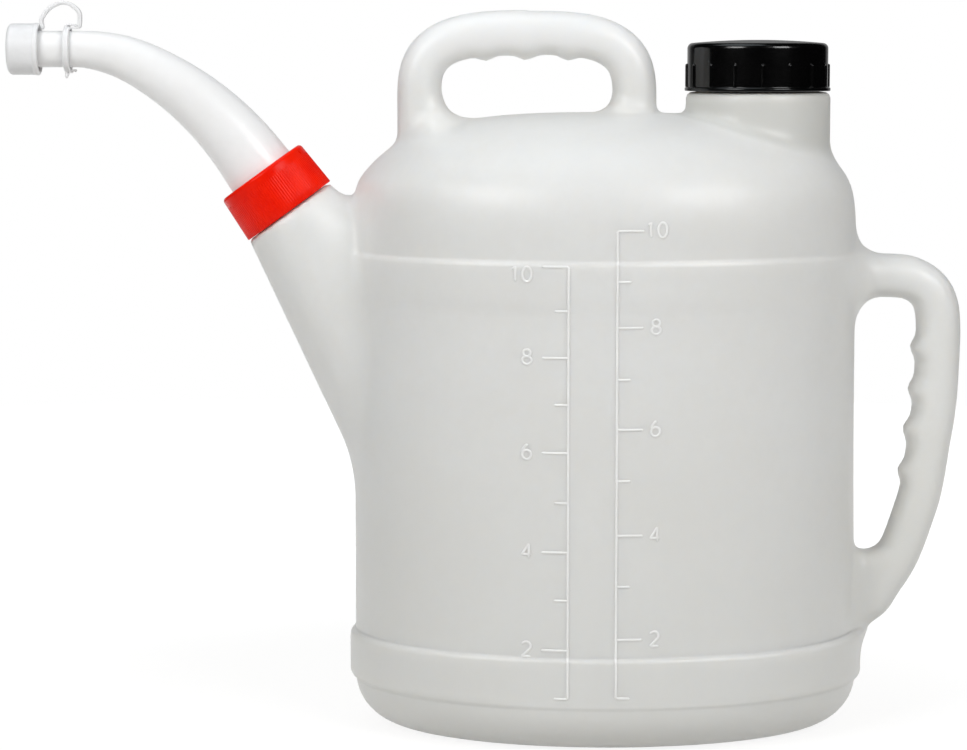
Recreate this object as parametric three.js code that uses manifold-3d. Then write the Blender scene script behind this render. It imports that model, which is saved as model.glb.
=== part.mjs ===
// Workshop pouring can for ten litres. A one-piece blow-moulded can with two hollow handles and a
// slanted branch, a screwed filler cap with its liner, and a bent pouring spout that a screwed collar
// clamps on a gasket. A push-on tip cap hangs on a strap from a ring round the spout.
// Millimetres, +Z up, the graduated front towards -Y, the spout towards -X.
import * as THREE from "three";
import { mergeVertices } from "three/addons/utils/BufferGeometryUtils.js";
import Module from "manifold-3d";

const wasm = await Module();
wasm.setup();

const DEG = Math.PI / 180;
const TURN = 2 * Math.PI;

// Gaps between pieces that touch, screw or slide, and how far a cut runs past a face
const gap = { touch: 0.3, thread: 0.45, slide: 0.4 };
const overrun = 6;
const embed = 0.6;

// The moulded can, its plain wall and its dome
const can = {
  width: 269,
  depth: 188,
  wall: 2,
  shoulderHeight: 262,
  domeRise: 67.3,
  domePower: 3,
  shoulderInset: 22.5,
  baseFillet: 26,
  baseRecess: 3,
  rimWidth: 12,
  footSpread: 2.4,
  upperBandDrop: 32,
};
const crown = can.shoulderHeight + can.domeRise;
const lowerBand = { bottom: 22.5, height: 27, proud: 3, edge: 2.6 };
const upperBand = { bottom: can.shoulderHeight - can.upperBandDrop, height: 25, proud: 1.2, edge: 2.2 };
const bandEdgeShares = [[0, 0], [0.7, 0.25], [1, 1]];

// The filler neck and its screwed finish: its axis in from the can's side, its shoulder above the crown
const neck = {
  inset: 53.2,
  diameter: 76.7,
  rise: 10.9,
  shoulderRound: 2.4,
  flare: 4,
  flareHeight: 22,
  rootDepth: 23.1,
  finishDiameter: 65.8,
  finishWall: 2.2,
  finishHeight: 21.5,
};
// The neck's flare into the dome: share of the flare outwards, share of its height upwards
const flareShares = [[1, 0], [0.33, 0.5], [0, 1]];
const neckThread = { pitch: 6, depth: 1.8, rootWidth: 2.6, crestWidth: 1.2, turns: 1.6, start: 8 };

// The filler cap and the liner under its top
const cap = {
  clearBelow: 1.8,
  height: 24,
  crown: 1.6,
  diameter: 75,
  edgeRound: 3,
  beadProud: 1.35,
  beadHeight: 2,
  ribs: 16,
  ribWidth: 1.6,
  ribProud: 1.1,
  ribTopInset: 8,
  threadTurns: 1.4,
};
const liner = { thickness: 1.5, inset: 0.3 };

// The slanted branch that carries the spout: its seat out from the can's side and above its shoulder
const branch = {
  reach: 34.75,
  rise: 14.75,
  tilt: 35.85,
  diameter: 49,
  shoulderGap: 1,
  shoulderRound: 1.4,
  length: 146,
  underGrowth: 0.209,
  upperGrowth: 0.55,
  sideGrowth: 0.05,
  finishDiameter: 41.5,
  finishWall: 2,
};
// A thread's ridge starts and ends low: the share it fades over, and the share of its depth there
const threadEndShares = { fade: 0.12, low: 0.1 };
const branchThread = { pitch: 6, depth: 1.6, rootWidth: 2.6, crestWidth: 1.2, turns: 1.5, start: 6.5 };

// The collar that clamps the spout
const collar = {
  height: 25.1,
  topDiameter: 51,
  bottomDiameter: 53.7,
  plate: 2.2,
  edgeRound: 2.2,
  threadTurns: 1.4,
};
const gasket = { thickness: 1.5 };

// The bent, tapered pouring spout
const spout = {
  baseDiameter: 37.4,
  tipDiameter: 19.3,
  wall: 1.6,
  flangeThickness: 2.5,
  straight: 22,
  bendRadius: 116,
  tipStraight: 27,
  tipPlain: 38,
  taperPower: 1.1,
  beadProud: 1.8,
  beadHeight: 3,
  beadSetback: 7,
};

// The push-on tip cap, its ring and its strap
const tipCap = { diameter: 27, length: 18.4, wall: 1.6, end: 2, endRound: 2.6, backRim: 2.2, rimProud: 0.5 };
const tetherRing = {
  width: 3.2,
  thickness: 1.8,
  setback: 13.2,
  tabLength: 8.4,
  tabWidth: 5,
  tabHeight: 1.2,
  lugHeight: 2.5,
  lugLength: 3.6,
  lugSlope: 0.6,
  tailLength: 2.6,
  tailWidth: 2.5,
};
const strap = { width: 4.6, thickness: 1.4, rise: 12.6 };
// The strap's arch: share of the way from the tab to the cap, share of the rise
const strapShares = [[0.03, 0.35], [0.06, 0.68], [0.22, 0.95], [0.47, 1], [0.74, 0.84], [0.93, 0.5]];

// The two moulded handles, whose places follow the can's side, the crown, the neck and the bands
const topHandle = {
  inset: 35,
  neckGap: 27.35,
  rise: 42.3,
  archHeight: 36.6,
  archPower: 3.2,
  thickness: 23.4,
  depth: 29,
  rootDepth: 32,
  rootFlare: 2,
  rootFlareHeight: 9,
  ridges: 3,
  ridgePitch: 23,
  ridgeHeight: 2.4,
};
const rearHandle = {
  topDrop: 20,
  bottomRise: 6.5,
  reach: 45.3,
  thickness: 23.4,
  depth: 29,
  rootLength: 16,
  rootDrop: 13,
  rootFlare: 12,
  rootFlareReach: 14,
  lowerFlare: 18,
  lowerFlareReach: 40,
  bumps: 4,
  bumpPitch: 22,
  bumpStart: 72.7,
  bumpHeight: 3,
};
// The rear handle's middle line: share of the reach outwards, share of the height upwards
const rearLineShares = [
  [0, 1], [0.4, 1], [0.65, 0.993], [0.864, 0.964], [0.973, 0.914], [1, 0.839], [0.991, 0.723],
  [0.961, 0.618], [0.902, 0.522], [0.82, 0.398], [0.72, 0.307], [0.527, 0.18], [0.239, 0.074], [0, 0.016],
];

// The moulded scale on the front: two lines with one mark for each unit, lowest first
const scale = {
  proud: 0.5,
  lineWidth: 1.1,
  longMark: 12.3,
  shortMark: 6.5,
  bottomRise: 8.5,
  right: { x: 4, side: 1, rise: 9.6 },
  left: { x: -21.3, side: -1, rise: -8.1 },
};
const rightMarkShares = [0, 0.126, 0.241, 0.351, 0.467, 0.578, 0.685, 0.795, 0.893, 1];
const leftMarkShares = [0, 0.115, 0.229, 0.343, 0.457, 0.573, 0.684, 0.794, 0.897, 1];

// Facets: how many sides or steps a round form gets, and how square a handle's section is
const facets = {
  can: 48, canInside: 32, neck: 32, branch: 20, spout: 20, small: 20, thread: 24, fillet: 4, dome: 10,
  handle: 14, handleInside: 8, topSteps: 48, rearSteps: 60, insideSteps: 18, archPoints: 20, branchSteps: 8,
  lip: 3, crown: 3, ribEnd: 2, spoutSteps: 24, strap: 8, strapSteps: 22,
};
const tubePower = 2.3;
const strapPower = 5;

const colours = {
  milk: { color: 0xdcd9d2, roughness: 0.38, metalness: 0 },
  clearMilk: { color: 0xeceae6, roughness: 0.34, metalness: 0 },
  black: { color: 0x0b0b0c, roughness: 0.22, metalness: 0 },
  foam: { color: 0xe9e7e2, roughness: 0.9, metalness: 0 },
  red: { color: 0xdf2a12, roughness: 0.3, metalness: 0 },
  rubber: { color: 0x2a2a2b, roughness: 0.8, metalness: 0 },
  white: { color: 0xf2f1ee, roughness: 0.35, metalness: 0 },
};

// A closed geometry as a solid: shared vertices merged, flat slivers dropped, faces turned outwards
function solid(geometry) {
  const bare = geometry.clone();
  bare.deleteAttribute("normal");
  bare.deleteAttribute("uv");
  const merged = mergeVertices(bare);
  const at = merged.attributes.position;
  const corners = merged.index.array;
  const kept = [];
  let volume = 0;
  const p = [0, 1, 2].map(() => new THREE.Vector3());
  for (let i = 0; i < corners.length; i += 3) {
    const [a, b, c] = corners.slice(i, i + 3);
    if (a === b || b === c || c === a) continue;
    [a, b, c].forEach((corner, k) => p[k].fromBufferAttribute(at, corner));
    volume += p[0].dot(p[1].clone().cross(p[2]));
    kept.push([a, b, c]);
  }
  const faces = kept.flatMap(([a, b, c]) => (volume > 0 ? [a, b, c] : [a, c, b]));
  return new wasm.Manifold(new wasm.Mesh({
    numProp: 3,
    vertProperties: Float32Array.from(at.array),
    triVerts: Uint32Array.from(faces),
  }));
}

function mesh(name, body, look) {
  const made = body.getMesh();
  const geometry = new THREE.BufferGeometry();
  geometry.setAttribute("position", new THREE.BufferAttribute(new Float32Array(made.vertProperties), 3));
  geometry.setIndex(new THREE.BufferAttribute(new Uint32Array(made.triVerts), 1));
  geometry.computeVertexNormals();
  const result = new THREE.Mesh(geometry, new THREE.MeshStandardMaterial(look));
  result.name = name;
  return result;
}

function join(bodies) {
  return bodies.reduce((sum, body) => sum.add(body));
}

// A solid of revolution about +Z from [radius, height] points
function revolve(profile, sides) {
  const points = profile.map(([r, z]) => new THREE.Vector2(r, z));
  return new THREE.LatheGeometry(points, sides).rotateX(Math.PI / 2);
}

function arc(centre, radius, from, to, steps) {
  return Array.from({ length: steps + 1 }, (_, k) => {
    const angle = from + (to - from) * k / steps;
    return [centre[0] + radius * Math.cos(angle), centre[1] + radius * Math.sin(angle)];
  });
}

// A skin through rings of points, closed at both ends by a fan
function loft(rings) {
  const sides = rings[0].length;
  const points = rings.flat();
  const index = [];
  for (let r = 0; r + 1 < rings.length; r++) {
    for (let k = 0; k < sides; k++) {
      const a = r * sides + k;
      const b = r * sides + (k + 1) % sides;
      index.push(a, b, b + sides, a, b + sides, a + sides);
    }
  }
  const close = (start, ring, flip) => {
    const middle = ring.reduce((sum, p) => sum.add(p), new THREE.Vector3()).divideScalar(sides);
    const centre = points.push(middle) - 1;
    for (let k = 0; k < sides; k++) {
      const pair = [start + k, start + (k + 1) % sides];
      index.push(centre, ...(flip ? pair.reverse() : pair));
    }
  };
  close(0, rings[0], true);
  close((rings.length - 1) * sides, rings.at(-1), false);
  return new THREE.BufferGeometry().setFromPoints(points).setIndex(index);
}

// One superellipse section in the plane of normal and +Y: half sizes out, in and sideways
function section(centre, normal, size, sides) {
  const power = 2 / (size.power ?? 2);
  const bend = (value) => Math.sign(value) * Math.abs(value) ** power;
  return Array.from({ length: sides }, (_, k) => {
    const angle = TURN * k / sides;
    const across = bend(Math.cos(angle)) * (Math.cos(angle) > 0 ? size.out : size.in);
    const point = centre.clone().addScaledVector(normal, across);
    point.y += bend(Math.sin(angle)) * size.side;
    return point;
  });
}

// A tube along a curve in the XZ plane. The size is a function of the length along it
function sweep(curve, steps, sizeAt, sides) {
  const length = curve.getLength();
  const rings = Array.from({ length: steps + 1 }, (_, k) => {
    const tangent = curve.getTangentAt(k / steps);
    const normal = new THREE.Vector3(-tangent.z, 0, tangent.x);
    return section(curve.getPointAt(k / steps), normal, sizeAt(length * k / steps, length), sides);
  });
  return loft(rings);
}

// A right-hand screw ridge about +Z that stands out of a wall, or in from a bore, and fades at its ends
function thread({ pitch, depth, rootWidth, crestWidth, turns, start }, radius, inward) {
  const steps = Math.round(turns * facets.thread);
  const out = inward ? -1 : 1;
  const { fade, low } = threadEndShares;
  const rings = Array.from({ length: steps + 1 }, (_, k) => {
    const angle = TURN * turns * k / steps;
    const z = start + pitch * turns * k / steps;
    const near = Math.min(k, steps - k) / steps;
    const height = depth * Math.min(1, low + (1 - low) * near / fade);
    const corners = [
      [-embed, -rootWidth / 2],
      [height, -crestWidth / 2],
      [height, crestWidth / 2],
      [-embed, rootWidth / 2],
    ];
    return corners.map(([rise, along]) => {
      const r = radius + out * rise;
      return new THREE.Vector3(r * Math.cos(angle), r * Math.sin(angle), z + along);
    });
  });
  return solid(loft(rings));
}

// The can's half depth where its half width is r: a constant inset at the wall, drawn in to the middle
function halfDepthAt(r) {
  const step = (can.width - can.depth) / 2;
  const knee = can.width / 2 - can.shoulderInset;
  return r > knee ? r - step : r * (knee - step) / knee;
}

function bandPoints(band, half) {
  const top = band.bottom + band.height;
  const rise = bandEdgeShares.map(([o, u]) => [half + band.proud * o, band.bottom + band.edge * u]);
  const fall = bandEdgeShares.map(([o, u]) => [half + band.proud * o, top - band.edge * u]).reverse();
  return [...rise, ...fall];
}

// The can's section from the middle of the base up to the top of the dome, set in by a wall or by 0
function canProfile(inset) {
  const half = can.width / 2 - inset;
  const fillet = can.baseFillet - inset;
  const rimOuter = half - fillet;
  const rimInner = rimOuter - can.rimWidth;
  const centre = [rimOuter, can.baseFillet];
  const filletEnd = Math.asin(Math.min(0, (lowerBand.bottom - can.baseFillet) / fillet));
  const points = [
    [0, can.baseRecess + inset],
    [rimInner - can.baseRecess, can.baseRecess + inset],
    [rimInner, inset],
    ...arc(centre, fillet, -Math.PI / 2, filletEnd, facets.fillet),
    ...bandPoints(lowerBand, half).slice(1),
    ...(inset > 0 ? [] : bandPoints(upperBand, half)),
  ];
  for (let k = 0; k <= facets.dome; k++) {
    const angle = Math.PI / 2 * k / facets.dome;
    const r = half * Math.max(0, Math.cos(angle)) ** (2 / can.domePower);
    const z = can.shoulderHeight + (can.domeRise - inset) * Math.sin(angle) ** (2 / can.domePower);
    points.push([k === facets.dome ? 0 : r, z]);
  }
  return points;
}

// The oval shell. Its foot, below the top of the lower band, runs out a little under the rear handle
function canShell(inset) {
  const geometry = revolve(canProfile(inset), inset > 0 ? facets.canInside : facets.can);
  const at = geometry.attributes.position;
  const bandTop = lowerBand.bottom + lowerBand.height;
  const spread = 1 + 2 * can.footSpread / can.width;
  for (let i = 0; i < at.count; i++) {
    const r = Math.hypot(at.getX(i), at.getY(i));
    if (r > 0) at.setY(i, at.getY(i) * halfDepthAt(r) / r);
    if (at.getX(i) > 0 && at.getZ(i) < bandTop) at.setX(i, at.getX(i) * spread);
  }
  return solid(geometry);
}

const neckX = can.width / 2 - neck.inset;
const neckShoulder = crown + neck.rise;
const neckRoot = crown - neck.rootDepth;
const neckRim = neckShoulder + neck.finishHeight;
const neckCrest = neck.finishDiameter / 2 + neckThread.depth;

// The filler neck stands on the dome and flares into it
function neckOuter() {
  const radius = neck.diameter / 2;
  const round = neck.shoulderRound;
  const profile = [
    [0, neckRoot],
    ...flareShares.map(([out, up]) => [radius + neck.flare * out, neckRoot + neck.flareHeight * up]),
    ...arc([radius - round, neckShoulder - round], round, 0, Math.PI / 2, facets.lip),
    [neck.finishDiameter / 2, neckShoulder],
    [neck.finishDiameter / 2, neckRim],
    [0, neckRim],
  ];
  return solid(revolve(profile, facets.neck)).add(thread(
    { ...neckThread, start: neckShoulder + neckThread.start }, neck.finishDiameter / 2, false));
}

function neckInner() {
  const radius = neck.diameter / 2 - can.wall;
  const bore = neck.finishDiameter / 2 - neck.finishWall;
  const ceiling = neckShoulder - can.wall;
  const profile = [
    [0, neckRoot - can.wall],
    [radius + neck.flare, neckRoot - can.wall],
    [radius, neckRoot + neck.flareHeight],
    [radius, ceiling - can.wall],
    [bore, ceiling],
    [bore, neckRim + overrun],
    [0, neckRim + overrun],
  ];
  return solid(revolve(profile, facets.neck));
}

// The branch's own frame: its origin at the middle of the collar's lower edge, +Z out along its axis
const branchSeat = new THREE.Vector3(-can.width / 2 - branch.reach, 0, can.shoulderHeight + branch.rise);
const branchFrame = new THREE.Matrix4().makeRotationY(-branch.tilt * DEG).setPosition(branchSeat);
const stack = 2 * gap.touch + gasket.thickness + spout.flangeThickness;
const branchRim = collar.height - collar.plate - gap.touch - stack;
const branchCrest = branch.finishDiameter / 2 + branchThread.depth;

// The branch widens more on its upper side, which runs into the dome, than under it
function branchCone(inset) {
  const steps = facets.branchSteps;
  const radius = branch.diameter / 2 - inset;
  const top = -branch.shoulderGap - inset;
  const rings = Array.from({ length: steps + 1 }, (_, k) => {
    const down = branch.length * k / steps;
    const size = {
      out: radius + branch.underGrowth * down,
      in: radius + Math.min(branch.upperGrowth, branch.underGrowth + branch.diameter / branch.length) * down,
      side: radius + branch.sideGrowth * down,
    };
    const centre = new THREE.Vector3(0, 0, top - branch.shoulderRound - down);
    return section(centre, new THREE.Vector3(-1, 0, 0), size, facets.branch);
  });
  const lip = radius - branch.shoulderRound;
  const ring = section(
    new THREE.Vector3(0, 0, top), new THREE.Vector3(-1, 0, 0), { out: lip, in: lip, side: lip }, facets.branch);
  return loft([ring, ...rings]).applyMatrix4(branchFrame);
}

function branchOuter() {
  const finish = revolve([
    [0, -branch.diameter / 2],
    [branch.finishDiameter / 2, -branch.diameter / 2],
    [branch.finishDiameter / 2, branchRim],
    [0, branchRim],
  ], facets.neck);
  const ridge = thread(branchThread, branch.finishDiameter / 2, false);
  const frame = Array.from(branchFrame.elements);
  return solid(branchCone(0)).add(solid(finish.applyMatrix4(branchFrame))).add(ridge.transform(frame));
}

function branchInner() {
  const radius = branch.finishDiameter / 2 - branch.finishWall;
  const bore = revolve([
    [0, -branch.diameter / 2],
    [radius, -branch.diameter / 2],
    [radius, branchRim + overrun],
    [0, branchRim + overrun],
  ], facets.neck);
  return solid(branchCone(can.wall)).add(solid(bore.applyMatrix4(branchFrame)));
}

// Raised bumps for the fingers: how far they stand in at a place along the grip
function bumpAt(along, start, pitch, count, height) {
  const place = (along - start) / pitch;
  if (place < -1 / 2 || place > count - 1 / 2) return 0;
  return height * ((1 + Math.cos(TURN * place)) / 2) ** 2;
}

function rootFlareAt(distance, reach, flare) {
  return flare * Math.max(0, 1 - distance / reach) ** 2;
}

// The top handle's middle line: two straight legs and half a superellipse
function topHandleLine() {
  const steps = facets.archPoints;
  const left = topHandle.inset - can.width / 2;
  const right = neckX - neck.diameter / 2 - topHandle.neckGap;
  const half = (right - left) / 2;
  const spring = crown + topHandle.rise - topHandle.archHeight;
  const root = crown - topHandle.rootDepth;
  const power = 2 / topHandle.archPower;
  const arch = Array.from({ length: steps + 1 }, (_, k) => {
    const angle = Math.PI * (1 - k / steps);
    const x = left + half * (1 + Math.sign(Math.cos(angle)) * Math.abs(Math.cos(angle)) ** power);
    return new THREE.Vector3(x, 0, spring + topHandle.archHeight * Math.sin(angle) ** power);
  });
  return new THREE.CatmullRomCurve3([
    new THREE.Vector3(left, 0, root),
    ...arch,
    new THREE.Vector3(right, 0, root),
  ], false, "centripetal");
}

function topHandleTube(inset, sides, steps) {
  const line = topHandleLine();
  const root = topHandle.rootDepth;
  const firstRidge = (1 - topHandle.ridges) / 2 * topHandle.ridgePitch;
  return solid(sweep(line, steps, (along, length) => {
    const fromRoot = Math.max(0, Math.min(along, length - along) - root);
    const flare = rootFlareAt(fromRoot, topHandle.rootFlareHeight, topHandle.rootFlare);
    const half = topHandle.thickness / 2 - inset + flare;
    const ridge = inset > 0 ? 0 : bumpAt(
      along - length / 2, firstRidge, topHandle.ridgePitch, topHandle.ridges, topHandle.ridgeHeight);
    return { out: half, in: half + ridge, side: topHandle.depth / 2 - inset, power: tubePower };
  }, sides));
}

function rearHandleLine() {
  const wallX = can.width / 2;
  const top = can.shoulderHeight - rearHandle.topDrop;
  const bottom = lowerBand.bottom + lowerBand.height + rearHandle.bottomRise;
  const points = rearLineShares.map(([out, up]) =>
    new THREE.Vector3(wallX + rearHandle.reach * out, 0, bottom + (top - bottom) * up));
  const first = new THREE.Vector3(wallX - rearHandle.rootLength, 0, top);
  const last = new THREE.Vector3(wallX - rearHandle.rootLength, 0, bottom - rearHandle.rootDrop);
  return new THREE.CatmullRomCurve3([first, ...points, last], false, "centripetal");
}

function rearHandleTube(inset, sides, steps) {
  const line = rearHandleLine();
  const root = rearHandle.rootLength;
  return solid(sweep(line, steps, (along, length) => {
    const fromTop = Math.max(0, along - root);
    const fromBottom = Math.max(0, length - along - root);
    const upper = rootFlareAt(fromTop, rearHandle.rootFlareReach, rearHandle.rootFlare);
    const lower = rootFlareAt(fromBottom, rearHandle.lowerFlareReach, rearHandle.lowerFlare);
    const half = rearHandle.thickness / 2 - inset;
    const bump = inset > 0 ? 0 : bumpAt(
      along - root, rearHandle.bumpStart, rearHandle.bumpPitch, rearHandle.bumps, rearHandle.bumpHeight);
    const side = rearHandle.depth / 2 - inset;
    return { out: half + upper, in: half + upper + lower + bump, side, power: tubePower };
  }, sides));
}

// One scale line with its marks as a flat comb, from the lowest mark to the highest
function scaleComb(line, shares) {
  const half = scale.lineWidth / 2;
  const bottom = lowerBand.bottom + scale.bottomRise;
  const top = can.shoulderHeight + line.rise;
  const edge = line.x - line.side * half;
  const inner = line.x + line.side * half;
  const shape = new THREE.Shape();
  shape.moveTo(edge, bottom - half);
  shares.forEach((share, k) => {
    const z = bottom + (top - bottom) * share;
    const reach = line.x + line.side * (k % 2 ? scale.longMark : scale.shortMark);
    shape.lineTo(k ? inner : edge, z - half);
    shape.lineTo(reach, z - half);
    shape.lineTo(reach, z + half);
    if (k + 1 < shares.length) shape.lineTo(inner, z + half);
  });
  shape.lineTo(edge, top + half);
  shape.closePath();
  return shape;
}

function moulded(scaleLine, shares) {
  const comb = new THREE.ExtrudeGeometry(scaleComb(scaleLine, shares), { depth: can.depth / 2, bevelEnabled: false });
  return solid(comb.rotateX(Math.PI / 2)).intersect(canShell(-scale.proud));
}

function canBody() {
  const at = [neckX, 0, 0];
  const outside = join([
    canShell(0),
    neckOuter().translate(at),
    branchOuter(),
    topHandleTube(0, facets.handle, facets.topSteps),
    rearHandleTube(0, facets.handle, facets.rearSteps),
    moulded(scale.right, rightMarkShares),
    moulded(scale.left, leftMarkShares),
  ]);
  const hollow = join([
    canShell(can.wall),
    neckInner().translate(at),
    branchInner(),
    topHandleTube(can.wall, facets.handleInside, facets.insideSteps),
    rearHandleTube(can.wall, facets.handleInside, facets.insideSteps),
  ]);
  return outside.subtract(hollow);
}

// The filler cap: a crowned plate and a ribbed skirt with a bead round its lower edge
function fillerCap() {
  const radius = cap.diameter / 2;
  const bottom = neckShoulder + cap.clearBelow;
  const top = bottom + cap.height;
  const bore = neckCrest + gap.thread;
  const ceiling = neckRim + gap.touch + liner.thickness + gap.touch;
  const round = cap.edgeRound;
  const crowned = Array.from({ length: facets.crown }, (_, k) => {
    const share = k / facets.crown;
    return [(radius - round) * share, top + cap.crown * (1 - share * share)];
  });
  const shell = revolve([
    ...crowned,
    ...arc([radius - round, top - round], round, Math.PI / 2, 0, facets.fillet),
    [radius, bottom + cap.beadHeight],
    [radius + cap.beadProud, bottom + cap.beadHeight],
    [radius + cap.beadProud, bottom],
    [bore, bottom],
    [bore, ceiling],
    [0, ceiling],
  ], facets.neck);
  const half = cap.ribWidth / 2;
  const ribTop = top - cap.ribTopInset;
  const shape = new THREE.Shape();
  shape.moveTo(-half, bottom + cap.beadHeight / 2);
  shape.lineTo(half, bottom + cap.beadHeight / 2);
  shape.absarc(0, ribTop, half, 0, Math.PI, false);
  shape.closePath();
  const rib = new THREE.ExtrudeGeometry(
    shape, { depth: cap.ribProud + embed, bevelEnabled: false, curveSegments: facets.ribEnd });
  rib.rotateX(Math.PI / 2).translate(0, embed - radius, 0);
  const ribs = Array.from({ length: cap.ribs }, (_, k) => {
    const turned = rib.clone().rotateZ(TURN * (k + 1 / 2) / cap.ribs);
    return solid(turned);
  });
  const start = neckShoulder + neckThread.start + neckThread.pitch / 2;
  const ridge = thread({ ...neckThread, turns: cap.threadTurns, start }, bore, true);
  return join([solid(shell), ...ribs, ridge]);
}

function fillerLiner() {
  const bottom = neckRim + gap.touch;
  const radius = neck.finishDiameter / 2 + liner.inset;
  return solid(revolve([
    [0, bottom], [radius, bottom], [radius, bottom + liner.thickness], [0, bottom + liner.thickness],
  ], facets.neck));
}

// The collar: a tapered skirt with a lip that holds the spout's flange down
function spoutCollar() {
  const bore = branchCrest + gap.thread;
  const hole = spout.baseDiameter / 2 + gap.slide;
  const topRadius = collar.topDiameter / 2;
  const bottomRadius = collar.bottomDiameter / 2;
  const round = collar.edgeRound;
  const shell = revolve([
    [hole, collar.height],
    ...arc([topRadius - round, collar.height - round], round, Math.PI / 2, 0, facets.fillet),
    [bottomRadius, 0],
    [bore, 0],
    [bore, collar.height - collar.plate],
    [hole, collar.height - collar.plate],
    [hole, collar.height],
  ], facets.neck);
  const start = branchThread.start + branchThread.pitch / 2;
  const ridge = thread({ ...branchThread, turns: collar.threadTurns, start }, bore, true);
  return solid(shell).add(ridge);
}

const flangeRadius = branch.finishDiameter / 2 + gap.thread / 2;

function spoutGasket() {
  const bottom = branchRim + gap.touch;
  const inside = branch.finishDiameter / 2 - branch.finishWall - gap.slide;
  return solid(revolve([
    [inside, bottom],
    [flangeRadius, bottom],
    [flangeRadius, bottom + gasket.thickness],
    [inside, bottom + gasket.thickness],
    [inside, bottom],
  ], facets.neck));
}

// The spout's middle line in the branch's frame: straight, a bend towards -X, straight again
const bendAngle = Math.PI / 2 - branch.tilt * DEG;
const spoutStart = branchRim + 2 * gap.touch + gasket.thickness;
const bendStart = collar.height + spout.straight;
const bendLength = spout.bendRadius * bendAngle;
const spoutLength = bendStart - spoutStart + bendLength + spout.tipStraight;
const taperStart = collar.height - spoutStart;
const taperEnd = spoutLength - spout.tipPlain;

function spoutPlace(along) {
  const straight = bendStart - spoutStart;
  const turn = THREE.MathUtils.clamp((along - straight) / spout.bendRadius, 0, bendAngle);
  const before = Math.min(along, straight);
  const after = Math.max(0, along - straight - bendLength);
  const x = -spout.bendRadius * (1 - Math.cos(turn)) - after * Math.sin(turn);
  const z = spoutStart + before + spout.bendRadius * Math.sin(turn) + after * Math.cos(turn);
  return { centre: new THREE.Vector3(x, 0, z), normal: new THREE.Vector3(-Math.cos(turn), 0, -Math.sin(turn)) };
}

function spoutRadiusAt(along) {
  const share = THREE.MathUtils.clamp((along - taperStart) / (taperEnd - taperStart), 0, 1);
  const drop = (spout.baseDiameter - spout.tipDiameter) / 2;
  return spout.baseDiameter / 2 - drop * share ** spout.taperPower;
}

function spoutRing(along, radius) {
  const { centre, normal } = spoutPlace(along);
  return section(centre, normal, { out: radius, in: radius, side: radius }, facets.spout);
}

function spoutPipe() {
  const steps = facets.spoutSteps;
  const beadEnd = spoutLength - spout.beadSetback;
  const beadStart = beadEnd - spout.beadHeight;
  const bendEnd = spoutLength - spout.tipStraight;
  const curve = Array.from({ length: steps + 1 }, (_, k) => taperStart + (bendEnd - taperStart) * k / steps);
  const tip = spout.tipDiameter / 2;
  const bead = tip + spout.beadProud;
  const slope = spout.beadProud / 2;
  const outer = [
    [0, flangeRadius],
    [spout.flangeThickness, flangeRadius],
    [spout.flangeThickness, spout.baseDiameter / 2],
    ...curve.map((along) => [along, spoutRadiusAt(along)]),
    [beadStart, tip],
    [beadStart + slope, bead],
    [beadEnd - slope, bead],
    [beadEnd, tip],
    [spoutLength, tip],
  ];
  const inner = [
    [-overrun, spout.baseDiameter / 2 - spout.wall],
    ...curve.filter((_, k) => k % 2 === 0).map((along) => [along, spoutRadiusAt(along) - spout.wall]),
    [spoutLength + overrun, tip - spout.wall],
  ];
  const skin = (stations) => solid(loft(stations.map(([along, radius]) => spoutRing(along, radius))));
  return skin(outer).subtract(skin(inner));
}

// The tip's own frame: origin at the middle of the spout's open end, +Z straight out of it
const tipFrame = new THREE.Group();
tipFrame.position.copy(spoutPlace(spoutLength).centre);
tipFrame.rotation.y = -bendAngle;

const capInside = gap.touch;
const capBack = capInside + tipCap.end - tipCap.length;

// The tip cap: a cup pushed over the spout's bead, with a thicker rim at its open end
function spoutCap() {
  const radius = tipCap.diameter / 2;
  const bore = radius - tipCap.wall;
  const end = capInside + tipCap.end;
  const round = tipCap.endRound;
  return solid(revolve([
    [0, end],
    ...arc([radius - round, end - round], round, Math.PI / 2, 0, facets.fillet),
    [radius, capBack + tipCap.backRim],
    [radius + tipCap.rimProud, capBack + tipCap.backRim - tipCap.rimProud],
    [radius + tipCap.rimProud, capBack],
    [bore, capBack],
    [bore, capInside],
    [0, capInside],
  ], facets.small));
}

const ringFront = capBack - tetherRing.setback;
const ringBack = ringFront - tetherRing.width;
const tabBack = ringFront - tetherRing.tabLength;
// The ring turns about the straight tip, and the bend starts under it, so its bore clears that drop
const bendDrop = Math.max(0, -tabBack - spout.tipStraight) ** 2 / (2 * spout.bendRadius);
const ringBore = spout.tipDiameter / 2 + gap.slide + bendDrop;
const tabTop = ringBore + tetherRing.tabHeight;

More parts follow.
